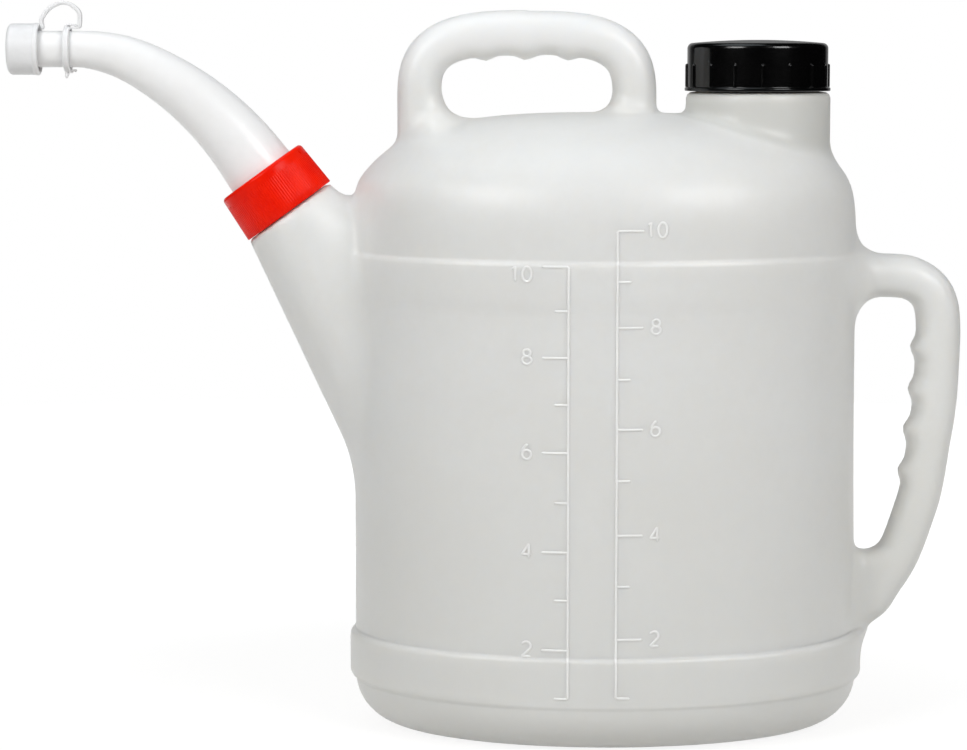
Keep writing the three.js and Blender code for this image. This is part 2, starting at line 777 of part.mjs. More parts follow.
// The ring round the spout: a flat tab on top for the strap, a lug on it, and a tail below
function ringBody() {
  const outside = ringBore + tetherRing.thickness;
  const hoop = solid(revolve([
    [ringBore, ringBack], [outside, ringBack], [outside, ringFront], [ringBore, ringFront], [ringBore, ringBack],
  ], facets.small));
  const side = new THREE.Shape();
  side.moveTo(ringBore, ringFront);
  side.lineTo(ringBore + tetherRing.lugHeight, ringFront);
  side.lineTo(ringBore + tetherRing.lugHeight, ringFront - tetherRing.lugLength);
  side.lineTo(tabTop, ringFront - tetherRing.lugLength - tetherRing.lugSlope);
  side.lineTo(tabTop, tabBack);
  side.lineTo(ringBore, tabBack);
  side.closePath();
  const tab = plate(side, tetherRing.tabWidth);
  const below = new THREE.Shape();
  below.moveTo(-ringBore - embed, ringFront);
  below.lineTo(-ringBore - embed, ringBack);
  below.lineTo(-outside - tetherRing.tailLength / 2, ringBack);
  below.lineTo(-outside - tetherRing.tailLength, ringFront);
  below.closePath();
  return join([hoop, solid(tab), solid(plate(below, tetherRing.tailWidth))])
    .subtract(solid(revolve([
      [0, tabBack - overrun], [ringBore, tabBack - overrun], [ringBore, ringFront + overrun], [0, ringFront + overrun],
    ], facets.small)));
}

// A flat outline in the tip's XZ plane as a plate of some width, centred on it
function plate(shape, width) {
  return new THREE.ExtrudeGeometry(shape, { depth: width, bevelEnabled: false })
    .translate(0, 0, -width / 2).rotateX(Math.PI / 2);
}

// The strap arches from the tab's back end to the top of the cap's rim
function strapBody() {
  const half = strap.thickness / 2;
  const foot = tabTop + gap.touch;
  const rimTop = tipCap.diameter / 2 + tipCap.rimProud + gap.touch;
  const back = tabBack + half;
  const front = capBack + half;
  const span = front - back;
  const top = foot + strap.rise;
  const points = strapShares.map(([along, up]) =>
    new THREE.Vector3(foot + (top - foot) * up, 0, back + span * along));
  const line = new THREE.CatmullRomCurve3([
    new THREE.Vector3(foot, 0, back),
    ...points,
    new THREE.Vector3(rimTop, 0, front),
  ], false, "centripetal");
  const size = { out: half, in: half, side: strap.width / 2, power: strapPower };
  return solid(sweep(line, facets.strapSteps, () => size, facets.strap));
}

const screwed = new THREE.Group();
screwed.position.set(neckX, 0, 0);
screwed.add(
  mesh("filler_cap", fillerCap(), colours.black),
  mesh("filler_seal", fillerLiner(), colours.foam),
);

const pouring = new THREE.Group();
pouring.position.copy(branchSeat);
pouring.rotation.y = -branch.tilt * DEG;
pouring.add(
  mesh("spout_collar", spoutCollar(), colours.red),
  mesh("spout_gasket", spoutGasket(), colours.rubber),
  mesh("spout", spoutPipe(), colours.clearMilk),
);
tipFrame.add(
  mesh("spout_cap", spoutCap(), colours.white),
  mesh("tether_ring", ringBody(), colours.white),
  mesh("tether_strap", strapBody(), colours.white),
);
pouring.add(tipFrame);

const object = new THREE.Group();
object.add(mesh("can_body", canBody(), colours.milk), screwed, pouring);

// The origin is the middle of the whole object's box, on the floor
object.updateMatrixWorld(true);
const box = new THREE.Box3().setFromObject(object, true);
object.position.set(-(box.min.x + box.max.x) / 2, -(box.min.y + box.max.y) / 2, -box.min.z);

export default object;
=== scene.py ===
# %% [markdown]
# # A pouring can for the workshop
#
# The real thing is a ten-litre can, blown in one piece from milky polyethylene, with a screwed black cap and
# a bent spout under a red collar. This lesson dresses its packed model in Blender. Every shape is worked out
# with numpy in millimetres and turned into metres when its mesh is made.

# %% Tools and the frame
import math
from types import SimpleNamespace as Sizes

import bpy
import numpy as np
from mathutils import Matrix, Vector


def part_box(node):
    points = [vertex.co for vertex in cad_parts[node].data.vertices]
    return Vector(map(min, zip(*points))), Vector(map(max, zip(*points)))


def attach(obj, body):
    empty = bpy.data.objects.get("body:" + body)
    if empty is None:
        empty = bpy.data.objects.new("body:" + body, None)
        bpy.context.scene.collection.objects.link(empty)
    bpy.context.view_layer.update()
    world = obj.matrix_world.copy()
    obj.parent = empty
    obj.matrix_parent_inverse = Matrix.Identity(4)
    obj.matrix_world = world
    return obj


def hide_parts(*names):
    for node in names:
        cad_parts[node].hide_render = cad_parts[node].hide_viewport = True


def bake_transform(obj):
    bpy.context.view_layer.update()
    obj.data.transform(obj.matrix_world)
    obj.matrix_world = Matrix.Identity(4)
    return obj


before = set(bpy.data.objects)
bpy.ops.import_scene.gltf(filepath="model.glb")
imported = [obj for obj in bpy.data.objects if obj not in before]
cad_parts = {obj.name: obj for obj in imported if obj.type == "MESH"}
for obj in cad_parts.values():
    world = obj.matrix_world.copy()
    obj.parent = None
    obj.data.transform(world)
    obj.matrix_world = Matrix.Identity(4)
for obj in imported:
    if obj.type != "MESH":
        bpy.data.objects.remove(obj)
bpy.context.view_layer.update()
MM = 0.001
TURN = 2 * math.pi

# %% [markdown]
# ## The sizes
#
# A designer would keep one list of sizes for the mould and the caps. These follow the solid model's, with the
# finer roundings and relief that only the dressed model has. A blend is the width over which two forms melt
# together, and a share is a part of a length. The can's own middle isn't the model's origin, because the
# spout reaches far out on one side, so it is found from the seal, which sits on the neck's axis.

# %% Sizes in millimetres
can = Sizes(width=269, depth=188, wall=2, shoulder=262, dome=67.3, dome_power=3, knee=112, knee_blend=8,
            fillet=26, fillet_end=-4, recess=3, rim=12, foot=1.1, foot_fade=1.5)
swell = Sizes(left_share=0.015, right_share=0.004, height=292, spread=9)
lean = Sizes(share=0.0095, top=210, span=120)
band_low = Sizes(bottom=24.4, top=51.2, proud=3, round=5.5, low_round=5, base=0)
band_front = Sizes(bottom=24.4, top=51.2, proud=1.7, round=2.2, low_round=2.2, base=1)
band_high = Sizes(bottom=230, top=255.8, proud=1.2, round=2.2, low_round=60, base=0)
neck = Sizes(x=81.3, body_x=81.7, radius=38.5, shoulder=340.2, round=3.3, root=300, left_blend=5,
             right_blend=6.5, blend_start=60, blend_span=45, finish=32.9, finish_foot=320, rim=361.7,
             bore=30.7)
branch = Sizes(seat_x=-169.25, seat_z=276.75, tilt=35.85, radius=26.6, shift=-0.4, top=-0.3, round=2.3,
               length=146, under=0.193, neat=4, upper_neat=0.2, upper=0.5, side=0.05, blend=8,
               finish=20.75, finish_foot=-24, rim=18, bore=18.75, bore_foot=-30)
screw = Sizes(pitch=6, root=2.6, shoulder=0.72, crest=1.2, flank=0.55, top=0.95, sink=0.6, fade=0.12,
              thinnest=0.08, steps=72)
neck_screw = Sizes(depth=1.8, start=neck.shoulder + 8, turns=1.6)
cap_screw = Sizes(depth=1.8, start=neck.shoulder + 11, turns=1.4)
branch_screw = Sizes(depth=1.6, start=6.5, turns=1.5)
collar_screw = Sizes(depth=1.6, start=9.5, turns=1.4)
rim_round, overrun, blunt = 0.6, 9, 0.4
cap = Sizes(bottom=340.8, height=25.5, crown=1.6, radius=37.5, edge=3, bead=1.35, bead_height=2,
            bead_round=0.7, bore=35.15, ceiling=363.8, ribs=16, first_rib=-0.8, rib_width=1.6, rib_proud=1.1,
            rib_top=11)
seal = Sizes(radius=33.2, bottom=362, thickness=1.5, round=0.4)
collar = Sizes(height=25.7, top=25.8, bottom=27.15, plate=2.8, edge=2.2, lip=0.5, bore=22.8, hole=19.1,
               ribs=120, rib_depth=0.17, rib_fade=0.8, smooth=5.2)
gasket = Sizes(inside=18.35, outside=20.975, bottom=18.3, thickness=1.5, round=0.5)
spout = Sizes(start=20.1, base=18.7, tip=9.65, wall=1.6, flange=2.5, bend_start=35.425, wide_bend=160,
              tight_bend=80, tip_straight=33.686, tip_plain=37.1, taper=1.1, bead=1.8, bead_height=3,
              bead_setback=6.1)
tip = Sizes(radius=13.65, length=16.8, wall=1.6, end=1.3, crown=0.5, round=2.6, rim=2.6, rim_proud=0.25,
            lip=1.1, gap=0.3)
ring = Sizes(width=3.2, thickness=1.8, setback=13.2, bore=10.54, tab_width=5)
strap = Sizes(width=4.6, thickness=2.2)
top_handle = Sizes(left=-99.5, right=15.6, top=371.6, arch=36.6, power=3.2, thick=23.4, deep=29, root=297,
                   first_ridge=-23, ridge_pitch=23, ridges=3, ridge=2.4,
                   blend=5, left_blend=18, right_blend=8, blend_edge=8)
rear_handle = Sizes(top=242, bottom=56, reach=45.3, thick=23.4, deep=29, root=16, drop=13,
                    slim=0.55, slim_start=130, slim_span=30, flare=3, flare_span=14, low_flare=9, low_span=40,
                    first_ridge=74.5, ridge_pitch=23, ridges=4, ridge=3,
                    blend_split=150, upper_blend=15, lower_blend=11)
web = Sizes(x=142, top=90, wide=18, high=28, deep=21, round=5)
rear_shares = np.array([
    (0, 1), (0.4, 1), (0.65, 0.993), (0.86, 0.963), (0.973, 0.914), (1.004, 0.839), (0.992, 0.723),
    (0.966, 0.618), (0.912, 0.522), (0.84, 0.395), (0.74, 0.304), (0.544, 0.176), (0.252, 0.071), (0, 0.012)])

seal_low, seal_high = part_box("filler_seal")
middle = (seal_low.x + seal_high.x) / 2 / MM - neck.x
print("the can's middle lies at x =", round(middle, 2), "mm")

# %% [markdown]
# ## Places
#
# The cap stands upright, the branch leans, and the spout's tip lies flat. Each gets a frame: a turn about Y
# and a move. A piece is drawn upright round the Z axis of its frame and then carried to its place, so its
# object can stay at the origin.


# %% Frames of the screwed parts
def frame_at(turn, x, z):
    """A matrix that turns points about Y by so many degrees and then moves them to x and z."""
    a = math.radians(turn)
    return np.array([[math.cos(a), 0, math.sin(a), x], [0, 1, 0, 0], [-math.sin(a), 0, math.cos(a), z]])


def carry(points, place):
    """Points times the frame's turn, plus its move."""
    return points @ place[:, :3].T + place[:, 3]


can_frame = frame_at(0, middle, 0)
neck_frame = frame_at(0, middle + neck.x, 0)
branch_frame = frame_at(-branch.tilt, middle + branch.seat_x, branch.seat_z)
bend_angle = math.pi / 2 - math.radians(branch.tilt)
half_bend = bend_angle / 2
bend_length = (spout.wide_bend + spout.tight_bend) * half_bend
spout_length = spout.bend_start - spout.start + bend_length + spout.tip_straight


def spout_axis(along):
    """The spout's middle line and outward normal: straight, a wide arc, a tight one, and straight again."""
    wide, tight = spout.wide_bend, spout.tight_bend
    straight = spout.bend_start - spout.start
    first = np.clip((along - straight) / wide, 0, half_bend)
    turn = first + np.clip((along - straight - wide * half_bend) / tight, 0, half_bend)
    tightly = np.maximum(turn, half_bend)
    after = np.maximum(0, along - straight - bend_length)
    x = wide * (np.cos(first) - 1) + tight * (np.cos(tightly) - math.cos(half_bend)) - after * np.sin(turn)
    z = spout.start + np.minimum(along, straight) + wide * np.sin(first)
    z = z + tight * (np.sin(tightly) - math.sin(half_bend)) + after * np.cos(turn)
    flat = np.zeros_like(x)
    return np.stack((x, flat, z), -1), np.stack((-np.cos(turn), flat, -np.sin(turn)), -1)


tip_centre = carry(spout_axis(np.array([spout_length]))[0], branch_frame)[0]
tip_frame = frame_at(-90, tip_centre[0], tip_centre[2])
print("the spout ends at", tip_centre.round(2))

# %% [markdown]
# ## From arrays to meshes
#
# A mesh is a list of points and a list of faces. Both come as whole arrays here, and foreach_set copies them
# in one go. The sign of the enclosed volume tells whether the faces point out, and if they don't, every face
# is turned round.


# %% Making a mesh
def outward_volume(points, faces):
    """Six times the volume inside the faces: the sum of a . (b x c) over their triangles."""
    volume = 0
    for part in faces:
        a, b, c, d = (points[part[:, k]] for k in (0, 1, 2, -1))
        volume += np.sum(a * np.cross(b, c)) + np.sum(a * np.cross(c, d))
    return volume


def mesh_of(name, points, *faces):
    """Points in millimetres and arrays of faces of three or four corners, as one object in metres."""
    if outward_volume(points, faces) < 0:
        faces = [part[:, ::-1] for part in faces]
    corners = np.concatenate([part.ravel() for part in faces]).astype(np.int32)
    counts = np.concatenate([np.full(len(part), part.shape[1]) for part in faces])
    mesh = bpy.data.meshes.new(name)
    mesh.vertices.add(len(points))
    mesh.vertices.foreach_set("co", (points * MM).astype(np.float32).ravel())
    mesh.loops.add(len(corners))
    mesh.loops.foreach_set("vertex_index", corners)
    mesh.polygons.add(len(counts))
    mesh.polygons.foreach_set("loop_start", (np.cumsum(counts) - counts).astype(np.int32))
    mesh.update(calc_edges=True)
    mesh.shade_smooth()
    piece = bpy.data.objects.new(name, mesh)
    bpy.context.scene.collection.objects.link(piece)
    return piece


cube = np.array([(x, y, z) for x in (0, 1) for y in (0, 1) for z in (0, 1)], float)
cube_faces = np.array([(0, 1, 3, 2), (4, 6, 7, 5), (0, 4, 5, 1), (2, 3, 7, 6), (0, 2, 6, 4), (1, 5, 7, 3)])
print("a cube of side 1 has a volume of", outward_volume(cube, [cube_faces]) / 6)


# %% Faces over a grid
def grid_faces(rows, columns, wrap_rows):
    """Quads over a grid of rows whose columns go right round. With wrap_rows, the rows go round too."""
    row = np.arange(rows if wrap_rows else rows - 1)[:, None]
    column = np.arange(columns)[None, :]
    after, beside = (row + 1) % rows, (column + 1) % columns
    here, next_row = row * columns, after * columns
    quads = np.stack(np.broadcast_arrays(
        here + column, here + beside, next_row + beside, next_row + column), -1)
    return quads.reshape(-1, 4)


def fan(centre, first, columns, flip):
    """Triangles from one centre point to a ring that starts at the point called first."""
    column = np.arange(columns)
    beside = (column + 1) % columns
    pair = (first + beside, first + column) if flip else (first + column, first + beside)
    return np.column_stack((np.full(columns, centre), *pair))


def skin(grid, wrap_rows=False):
    """Points and faces of a closed skin over rings: it wraps in both ways, or ends in a fan at each end."""
    rows, columns = grid.shape[:2]
    points = grid.reshape(-1, 3)
    quads = grid_faces(rows, columns, wrap_rows)
    if wrap_rows:
        return points, quads, np.zeros((0, 3), int)
    points = np.vstack((points, grid[0].mean(0), grid[-1].mean(0)))
    count = rows * columns
    fans = np.vstack((fan(count, 0, columns, True), fan(count + 1, count - columns, columns, False)))
    return points, quads, fans


print("a tube of 3 rings of 8 points has", len(grid_faces(3, 8, False)), "quads")


# %% Profiles carried round an axis
def arc(x, z, radius, start, end, steps=6):
    """Points on an arc from one angle to another, in degrees: x + r cos a, z + r sin a."""
    a = np.radians(np.linspace(start, end, steps + 1))
    return np.column_stack((x + radius * np.cos(a), z + radius * np.sin(a)))


def even(count):
    """So many angles at even steps round a whole turn."""
    return np.linspace(0, TURN, count, endpoint=False)


def superellipse(value, power):
    """A cosine or sine for a superellipse: its sign times its size to the power 2 / power."""
    return np.sign(value) * np.abs(value) ** (2 / power)


def straight_axis(along):
    """Places on the Z axis, and the X direction as the normal there."""
    flat = np.zeros_like(along)
    return np.stack((flat, flat, along), -1), np.stack((flat + 1, flat, flat), -1)


def turned(name, profile, place, angles=even(96), relief=None, axis=straight_axis):
    """Rings of radius r round an axis: centre + r (cos a normal + sin a Y). relief adds to the radius."""
    profile = np.asarray(profile, float)
    poles = profile[0, 0] == 0 and profile[-1, 0] == 0
    if poles:
        profile = profile[1:-1]
    radius = profile[:, :1] + 0 * angles
    if relief:
        radius = radius + relief(profile, angles)
    centre, normal = axis(profile[:, 1])
    turn = angles[None, :, None]
    across = np.cos(turn) * normal[:, None] + np.sin(turn) * np.array([0, 1, 0])
    grid = centre[:, None] + radius[:, :, None] * across
    points, quads, fans = skin(carry(grid, place), wrap_rows=not poles)
    return mesh_of(name, points, quads, fans) if len(fans) else mesh_of(name, points, quads)


quarter = arc(0, 0, 1, 0, 90)
print("a quarter of a circle runs from", quarter[0].round(3), "to", quarter[-1].round(3))

# %% [markdown]
# ## Screw ridges
#
# A blown or pressed thread is a low ridge with sloping sides that winds up the wall and fades out at both
# ends. It is a small section carried along a helix, with a foot sunk in the wall so that the two can be
# joined.


# %% A screw ridge
def screw_ridge(name, radius, thread, place, inward=False):
    """A low trapezoid carried along a helix: x = r cos a, y = r sin a, z = start + pitch times a in turns."""
    share = np.linspace(0, 1, int(thread.turns * screw.steps) + 1)[:, None]
    angle = TURN * thread.turns * share
    fade = np.clip(np.minimum(share, 1 - share) / screw.fade, screw.thinnest, 1)
    flank, crest = screw.flank * thread.depth, screw.top * thread.depth
    rise = np.array([-screw.sink, flank, crest, crest, flank, -screw.sink])
    half = np.array([screw.crest, screw.shoulder * screw.root, screw.root])
    wide = np.concatenate((-half[::-1], half)) / 2
    rise = np.where(rise > 0, rise * fade, rise + 0 * fade)
    r = radius - rise if inward else radius + rise
    z = thread.start + screw.pitch * thread.turns * share + wide
    grid = np.stack((r * np.cos(angle), r * np.sin(angle), z), -1)
    return mesh_of(name, *skin(carry(grid, place)))


print("the neck's screw rises", round(neck_screw.turns * screw.pitch, 2), "mm")

# %% [markdown]
# ## The can's skin as one field of distances
#
# A blown can has no seams where its handles meet its body: the molten tube fills one mould, and every meeting
# is rounded. A grid of two parameters can't run over such a branching skin. So each form gets a function that
# tells how far a point lies outside it, and a soft minimum melts the functions together. The skin is where
# the result is 0.
#
# The lower band stands further out at the can's two ends than in front, where its edges are crisper. So there
# are two outlines, one for the ends and one for the front, and the distance goes over from one to the other.


# %% The oval's outline
def wall_outline(low_strip):
    """The section from the base's middle to the crown: a fillet, two bands with arcs for edges, and a dome.

    The dome is a quarter of a superellipse: (x / half) ** power + (z / dome) ** power = 1.
    """
    half = can.width / 2
    rim = half + low_strip.base - can.fillet
    edges = []
    for strip in (low_strip, band_high):
        for height, radius, step, side in ((strip.bottom, strip.low_round, strip.proud - strip.base, -1),
                                           (strip.top, strip.round, strip.proud, 1)):
            reach = math.acos(1 - step / radius)
            ends = (-math.degrees(reach), 0) if side < 0 else (0, math.degrees(reach))
            centre = height - side * radius * math.sin(reach)
            edges.append(arc(half + strip.proud - radius, centre, radius, *ends))
    angle = np.radians(np.linspace(0, 90, 61))
    dome = np.column_stack((half * superellipse(np.cos(angle), can.dome_power),
                            can.shoulder + can.dome * superellipse(np.sin(angle), can.dome_power)))
    return np.vstack((
        [(0, can.recess), (rim - can.rim - can.recess, can.recess), (rim - can.rim, 0)],
        arc(rim, can.fillet, can.fillet, -90, can.fillet_end, 16), *edges, dome))


end_outline, front_outline = wall_outline(band_low), wall_outline(band_front)
print("the outlines have", len(end_outline), "points each")


# %% Distances
def outline_distance(x, z, points):
    """The least distance to an outline's edges, below 0 where a ray out crosses an odd number of them."""
    nearest = np.full(x.shape, np.inf)
    inside = np.zeros(x.shape, bool)
    for (ax, az), (bx, bz) in zip(points, np.roll(points, -1, axis=0)):
        dx, dz = bx - ax, bz - az
        if dx == 0 and dz == 0:
            continue
        share = np.clip(((x - ax) * dx + (z - az) * dz) / (dx * dx + dz * dz), 0, 1)
        nearest = np.minimum(nearest, (x - ax - dx * share) ** 2 + (z - az - dz * share) ** 2)
        inside ^= ((az > z) != (bz > z)) & (x < ax + dx * (z - az) / (dz or 1))
    return np.where(inside, -1, 1) * np.sqrt(nearest)


tiny = 1e-9
table_step = 0.5
table_s = np.arange(0, 156, table_step)
table_z = np.arange(-10, 346, table_step)


def distance_table(points):
    """The outline's distance at every place of the table. The outline is mirrored first, which closes it."""
    mirrored = np.vstack((points, points[::-1] * [-1, 1]))
    return outline_distance(table_s[:, None] + 0 * table_z, table_z + 0 * table_s[:, None], mirrored)


end_table, front_table = distance_table(end_outline), distance_table(front_outline)


def look_up(table, s, z):
    """An outline's distance at s, z: the mean of the table's four nearest places, each by its nearness."""
    i = np.clip(s / table_step, 0, len(table_s) - 1.001)
    k = np.clip((z - table_z[0]) / table_step, 0, len(table_z) - 1.001)
    i, k = np.broadcast_arrays(i, k)
    a, b = i.astype(int), k.astype(int)
    u, v = i - a, k - b
    low = table[a, b] * (1 - u) + table[a + 1, b] * u
    return low + (table[a, b + 1] * (1 - u) + table[a + 1, b + 1] * u - low) * v


print("the can's middle line lies", -round(float(look_up(end_table, 0, 150)), 2), "mm inside the wall")


# %% Melting, and the oval
def melt(a, b, width):
    """The smaller of two distances, with a soft bridge where they differ by less than a width."""
    near = np.maximum(width - np.abs(a - b), 0)
    return np.minimum(a, b) - near * near / (4 * width)


def half_depth(s):
    """The oval's half depth where its half width is s: one inset near the wall, in proportion further in."""
    step = (can.width - can.depth) / 2
    return -melt(step - s, -s * (can.knee - step) / can.knee, can.knee_blend)


def oval_radius(x, y, rounds=7, pace=0.64):
    """The half width s of the oval through x, y, by repeated guesses of s = hypot(x, y s / half depth)."""
    s = np.hypot(x, y * can.knee / half_depth(can.knee))
    for _ in range(rounds):
        s = s + pace * (np.hypot(x, y * s / half_depth(s)) - s)
    return s


print("the oval through the front has a half width of", round(float(oval_radius(0, can.depth / 2)), 2), "mm")

# %% [markdown]
# The handles are tubes: a rounded section carried along a line in the middle plane. A point's nearest place
# on that line gives how far along it lies, and so how thick the tube is there, with its finger ridges.


# %% Handles and their lines
def dense(points, spacing=1.0):
    """A polyline with points at an even spacing, its lengths, its directions and its outward normals."""
    steps = np.linalg.norm(np.diff(points, axis=0), axis=1)
    at = np.concatenate(([0], np.cumsum(steps)))
    along = np.linspace(0, at[-1], int(at[-1] / spacing) + 1)
    line = np.column_stack([np.interp(along, at, points[:, k]) for k in (0, 1)])
    way = np.gradient(line, along, axis=0)
    way /= np.linalg.norm(way, axis=1)[:, None]
    return Sizes(points=line, along=along, way=way, normal=np.column_stack((-way[:, 1], way[:, 0])))


def smooth_line(points, steps=12):
    """A curve through points: on each stretch a cubic that takes its slope from the points on either side."""
    p = np.vstack((2 * points[0] - points[1], points, 2 * points[-1] - points[-2]))
    a, b, c, d = p[:-3, None], p[1:-2, None], p[2:-1, None], p[3:, None]
    t = np.linspace(0, 1, steps, endpoint=False)[None, :, None]
    square, cube = 2 * a - 5 * b + 4 * c - d, 3 * b - a - 3 * c + d
    curve = b + (c - a) * t / 2 + square * t ** 2 / 2 + cube * t ** 3 / 2
    return np.vstack((curve.reshape(-1, 2), points[-1]))


def top_line():
    """Two straight legs and half a superellipse between them."""
    h = top_handle
    half, centre = (h.right - h.left) / 2, (h.right + h.left) / 2
    a = np.radians(np.linspace(180, 0, 121))
    x = centre + half * superellipse(np.cos(a), h.power)
    z = h.top - h.arch + h.arch * superellipse(np.sin(a), h.power)
    return dense(np.vstack(((h.left, h.root), np.column_stack((x, z)), (h.right, h.root))))


def rear_line():
    """The rear grip's middle line through its table of shares, with both ends run into the can."""
    h = rear_handle
    wall = can.width / 2
    out, up = rear_shares.T
    grip = np.column_stack((wall + h.reach * out, h.bottom + (h.top - h.bottom) * up))
    return dense(smooth_line(np.vstack(((wall - h.root, h.top), grip, (wall - h.root, h.bottom - h.drop)))))


top_path, rear_path = top_line(), rear_line()
print("the grips' middle lines:", top_path.along[-1].round(1), "and", rear_path.along[-1].round(1), "mm")


# %% How thick the handles are
def finger_ridges(along, handle):
    """Soft ridges at an even pitch: the height times the square of (1 + cos) / 2."""
    place = (along - handle.first_ridge) / handle.ridge_pitch
    ridge = handle.ridge * ((1 + np.cos(TURN * place)) / 2) ** 2
    return np.where((place > -0.5) & (place < handle.ridges - 0.5), ridge, 0)


def top_sizes(along):
    """The half thickness outward and inward, with ridges from the middle of the grip, and the half depth."""
    half = top_handle.thick / 2
    return half, half + finger_ridges(along - top_path.along[-1] / 2, top_handle), top_handle.deep / 2


def rear_sizes(along):
    """The same for the rear grip, which flares at its ends by the square of the way left, and slims below."""
    h = rear_handle
    start, left = along - h.root, rear_path.along[-1] - along - h.root
    upper = h.flare * np.clip(1 - start / h.flare_span, 0, 1) ** 2
    lower = h.low_flare * np.clip(1 - left / h.low_span, 0, 1) ** 2
    half = h.thick / 2 - h.slim * np.clip((along - h.slim_start) / h.slim_span, 0, 1)
    return half + upper, half + upper + lower + finger_ridges(start, h), h.deep / 2


handle_power = 2.3
handle_near = 34
elsewhere = Sizes(share=4.0, half=15.0, past=-99.0)
crest = top_sizes(top_path.along[-1] / 2)[1]
print("the top grip is", round(float(top_handle.thick / 2 + crest), 1), "mm thick over its middle ridge")


# %% How far a place is from a handle
def spread(mask, values, far):
    """An array with the values where the mask is true, and one far value elsewhere."""
    whole = np.full(mask.shape, far)
    whole[mask] = values
    return whole


def tube_distance(x, y, z, path, sizes):
    """How far outside a tube a point lies: e - 1 over the slope of e = (n ** p + w ** p) ** (1 / p).

    n and w are the point's offsets in the plane and across it, over the tube's half thickness and half depth.
    """
    x, z = np.broadcast_arrays(x, z)
    low, high = path.points.min(0) - handle_near, path.points.max(0) + handle_near
    near = (x > low[0]) & (x < high[0]) & (z > low[1]) & (z < high[1])
    place = np.column_stack((x[near], z[near]))
    gaps = (place ** 2).sum(1)[:, None] - 2 * place @ path.points.T + (path.points ** 2).sum(1)
    i = gaps.argmin(1)
    off = place - path.points[i]
    out = (off * path.normal[i]).sum(1)
    slip = (off * path.way[i]).sum(1)
    outer, inner, side = sizes(path.along[i] + slip)
    half = np.where(out > 0, outer, inner)
    at_end = (i == 0) | (i == len(path.points) - 1)
    n = spread(near, np.abs(out) / half, elsewhere.share)
    h = spread(near, half, elsewhere.half)
    past = spread(near, np.where(at_end, np.abs(slip), elsewhere.past), elsewhere.past)
    w = np.abs(y) / side
    p = handle_power
    e = (n ** p + w ** p + tiny) ** (1 / p)
    slope = e ** (1 - p) * np.hypot(n ** (p - 1) / h, w ** (p - 1) / side)
    return np.maximum((e - 1) / (slope + tiny), past)


crown = top_path.points[len(top_path.points) // 2] + [0, 20]
above = tube_distance(crown[:1], np.zeros(1), crown[1:], top_path, top_sizes)
print("20 mm above the top grip's middle line lies", above[0].round(1), "mm outside it")


# %% The neck and the branch
def corner(a, b, radius):
    """The distance from a rounded edge of two walls, a and b away: hypot(a, b) outside both, less radius."""
    return np.hypot(np.maximum(a, 0), np.maximum(b, 0)) + np.minimum(np.maximum(a, b), 0) - radius


def neck_distance(x, y, z):
    """An upright cylinder with a rounded edge."""
    r = np.hypot(x - neck.body_x, y) - (neck.radius - neck.round)
    h = np.abs(z - (neck.shoulder + neck.root) / 2) - ((neck.shoulder - neck.root) / 2 - neck.round)
    return corner(r, h, neck.round)


def branch_distance(x, y, z):
    """A leaning cone of two half ellipses that widens most on its upper side, cut square under its collar.

    u and w are the point's places across and along the branch, and e is its share of the ellipse there.
    """
    a = math.radians(branch.tilt)
    dx, dz = x - branch.seat_x, z - branch.seat_z
    u = dx * math.cos(a) + dz * math.sin(a) - branch.shift
    w = dz * math.cos(a) - dx * math.sin(a)
    down = np.clip(branch.top - branch.round - w, 0, branch.length)
    grow = np.where(u < 0, branch.under, branch.upper_neat)
    half = branch.radius - branch.round + grow * down
    half = half + (u > 0) * (branch.upper - branch.upper_neat) * np.maximum(0, down - branch.neat)
    side = branch.radius - branch.round + branch.side * down
    e = np.sqrt((u / half) ** 2 + (y / side) ** 2) + tiny
    slope = np.hypot(u / half ** 2, y / side ** 2) / e + tiny
    around = (e - 1) / slope / np.sqrt(1 + grow ** 2 * (u / half / e) ** 2)
    over = np.maximum(w - (branch.top - branch.round), branch.top - branch.length - w)
    return corner(around, over, branch.round)


print("the neck's middle line lies", -neck_distance(neck.body_x, 0, 320).round(1), "mm inside the neck")


# %% The whole can's distance
def web_distance(x, y, z):
    """A rounded block that fills the corner below the rear grip's opening."""
    gaps = [np.abs(x - web.x) - web.wide / 2 + web.round, np.abs(y) - web.deep / 2 + web.round,
            np.abs(z - web.top + web.high / 2) - web.high / 2 + web.round]
    outside = np.sqrt(sum(np.maximum(gap, 0) ** 2 for gap in gaps))
    return outside + np.minimum(np.maximum(np.maximum(gaps[0], gaps[1]), gaps[2]), 0) - web.round


def oval_distance(x, y, z):
    """The can alone: its oval, a little wider at the foot, at the dome and low down on the right."""
    right = x > 0
    foot = 1 + 2 * can.foot / can.width * right * np.clip((band_low.top - z) / can.foot_fade, 0, 1)
    bulge = np.exp(-((z - swell.height) / swell.spread) ** 2)
    swollen = 1 + np.where(x < 0, swell.left_share, swell.right_share) * bulge
    leaning = 1 + lean.share * right * np.clip((lean.top - z) / lean.span, 0, 1) ** 2
    oval = oval_radius(x / foot / swollen / leaning, y)
    flat = np.minimum(2 * np.abs(y) / can.depth, 1) ** 2
    return look_up(end_table, oval, z) * (1 - flat) + look_up(front_table, oval, z) * flat


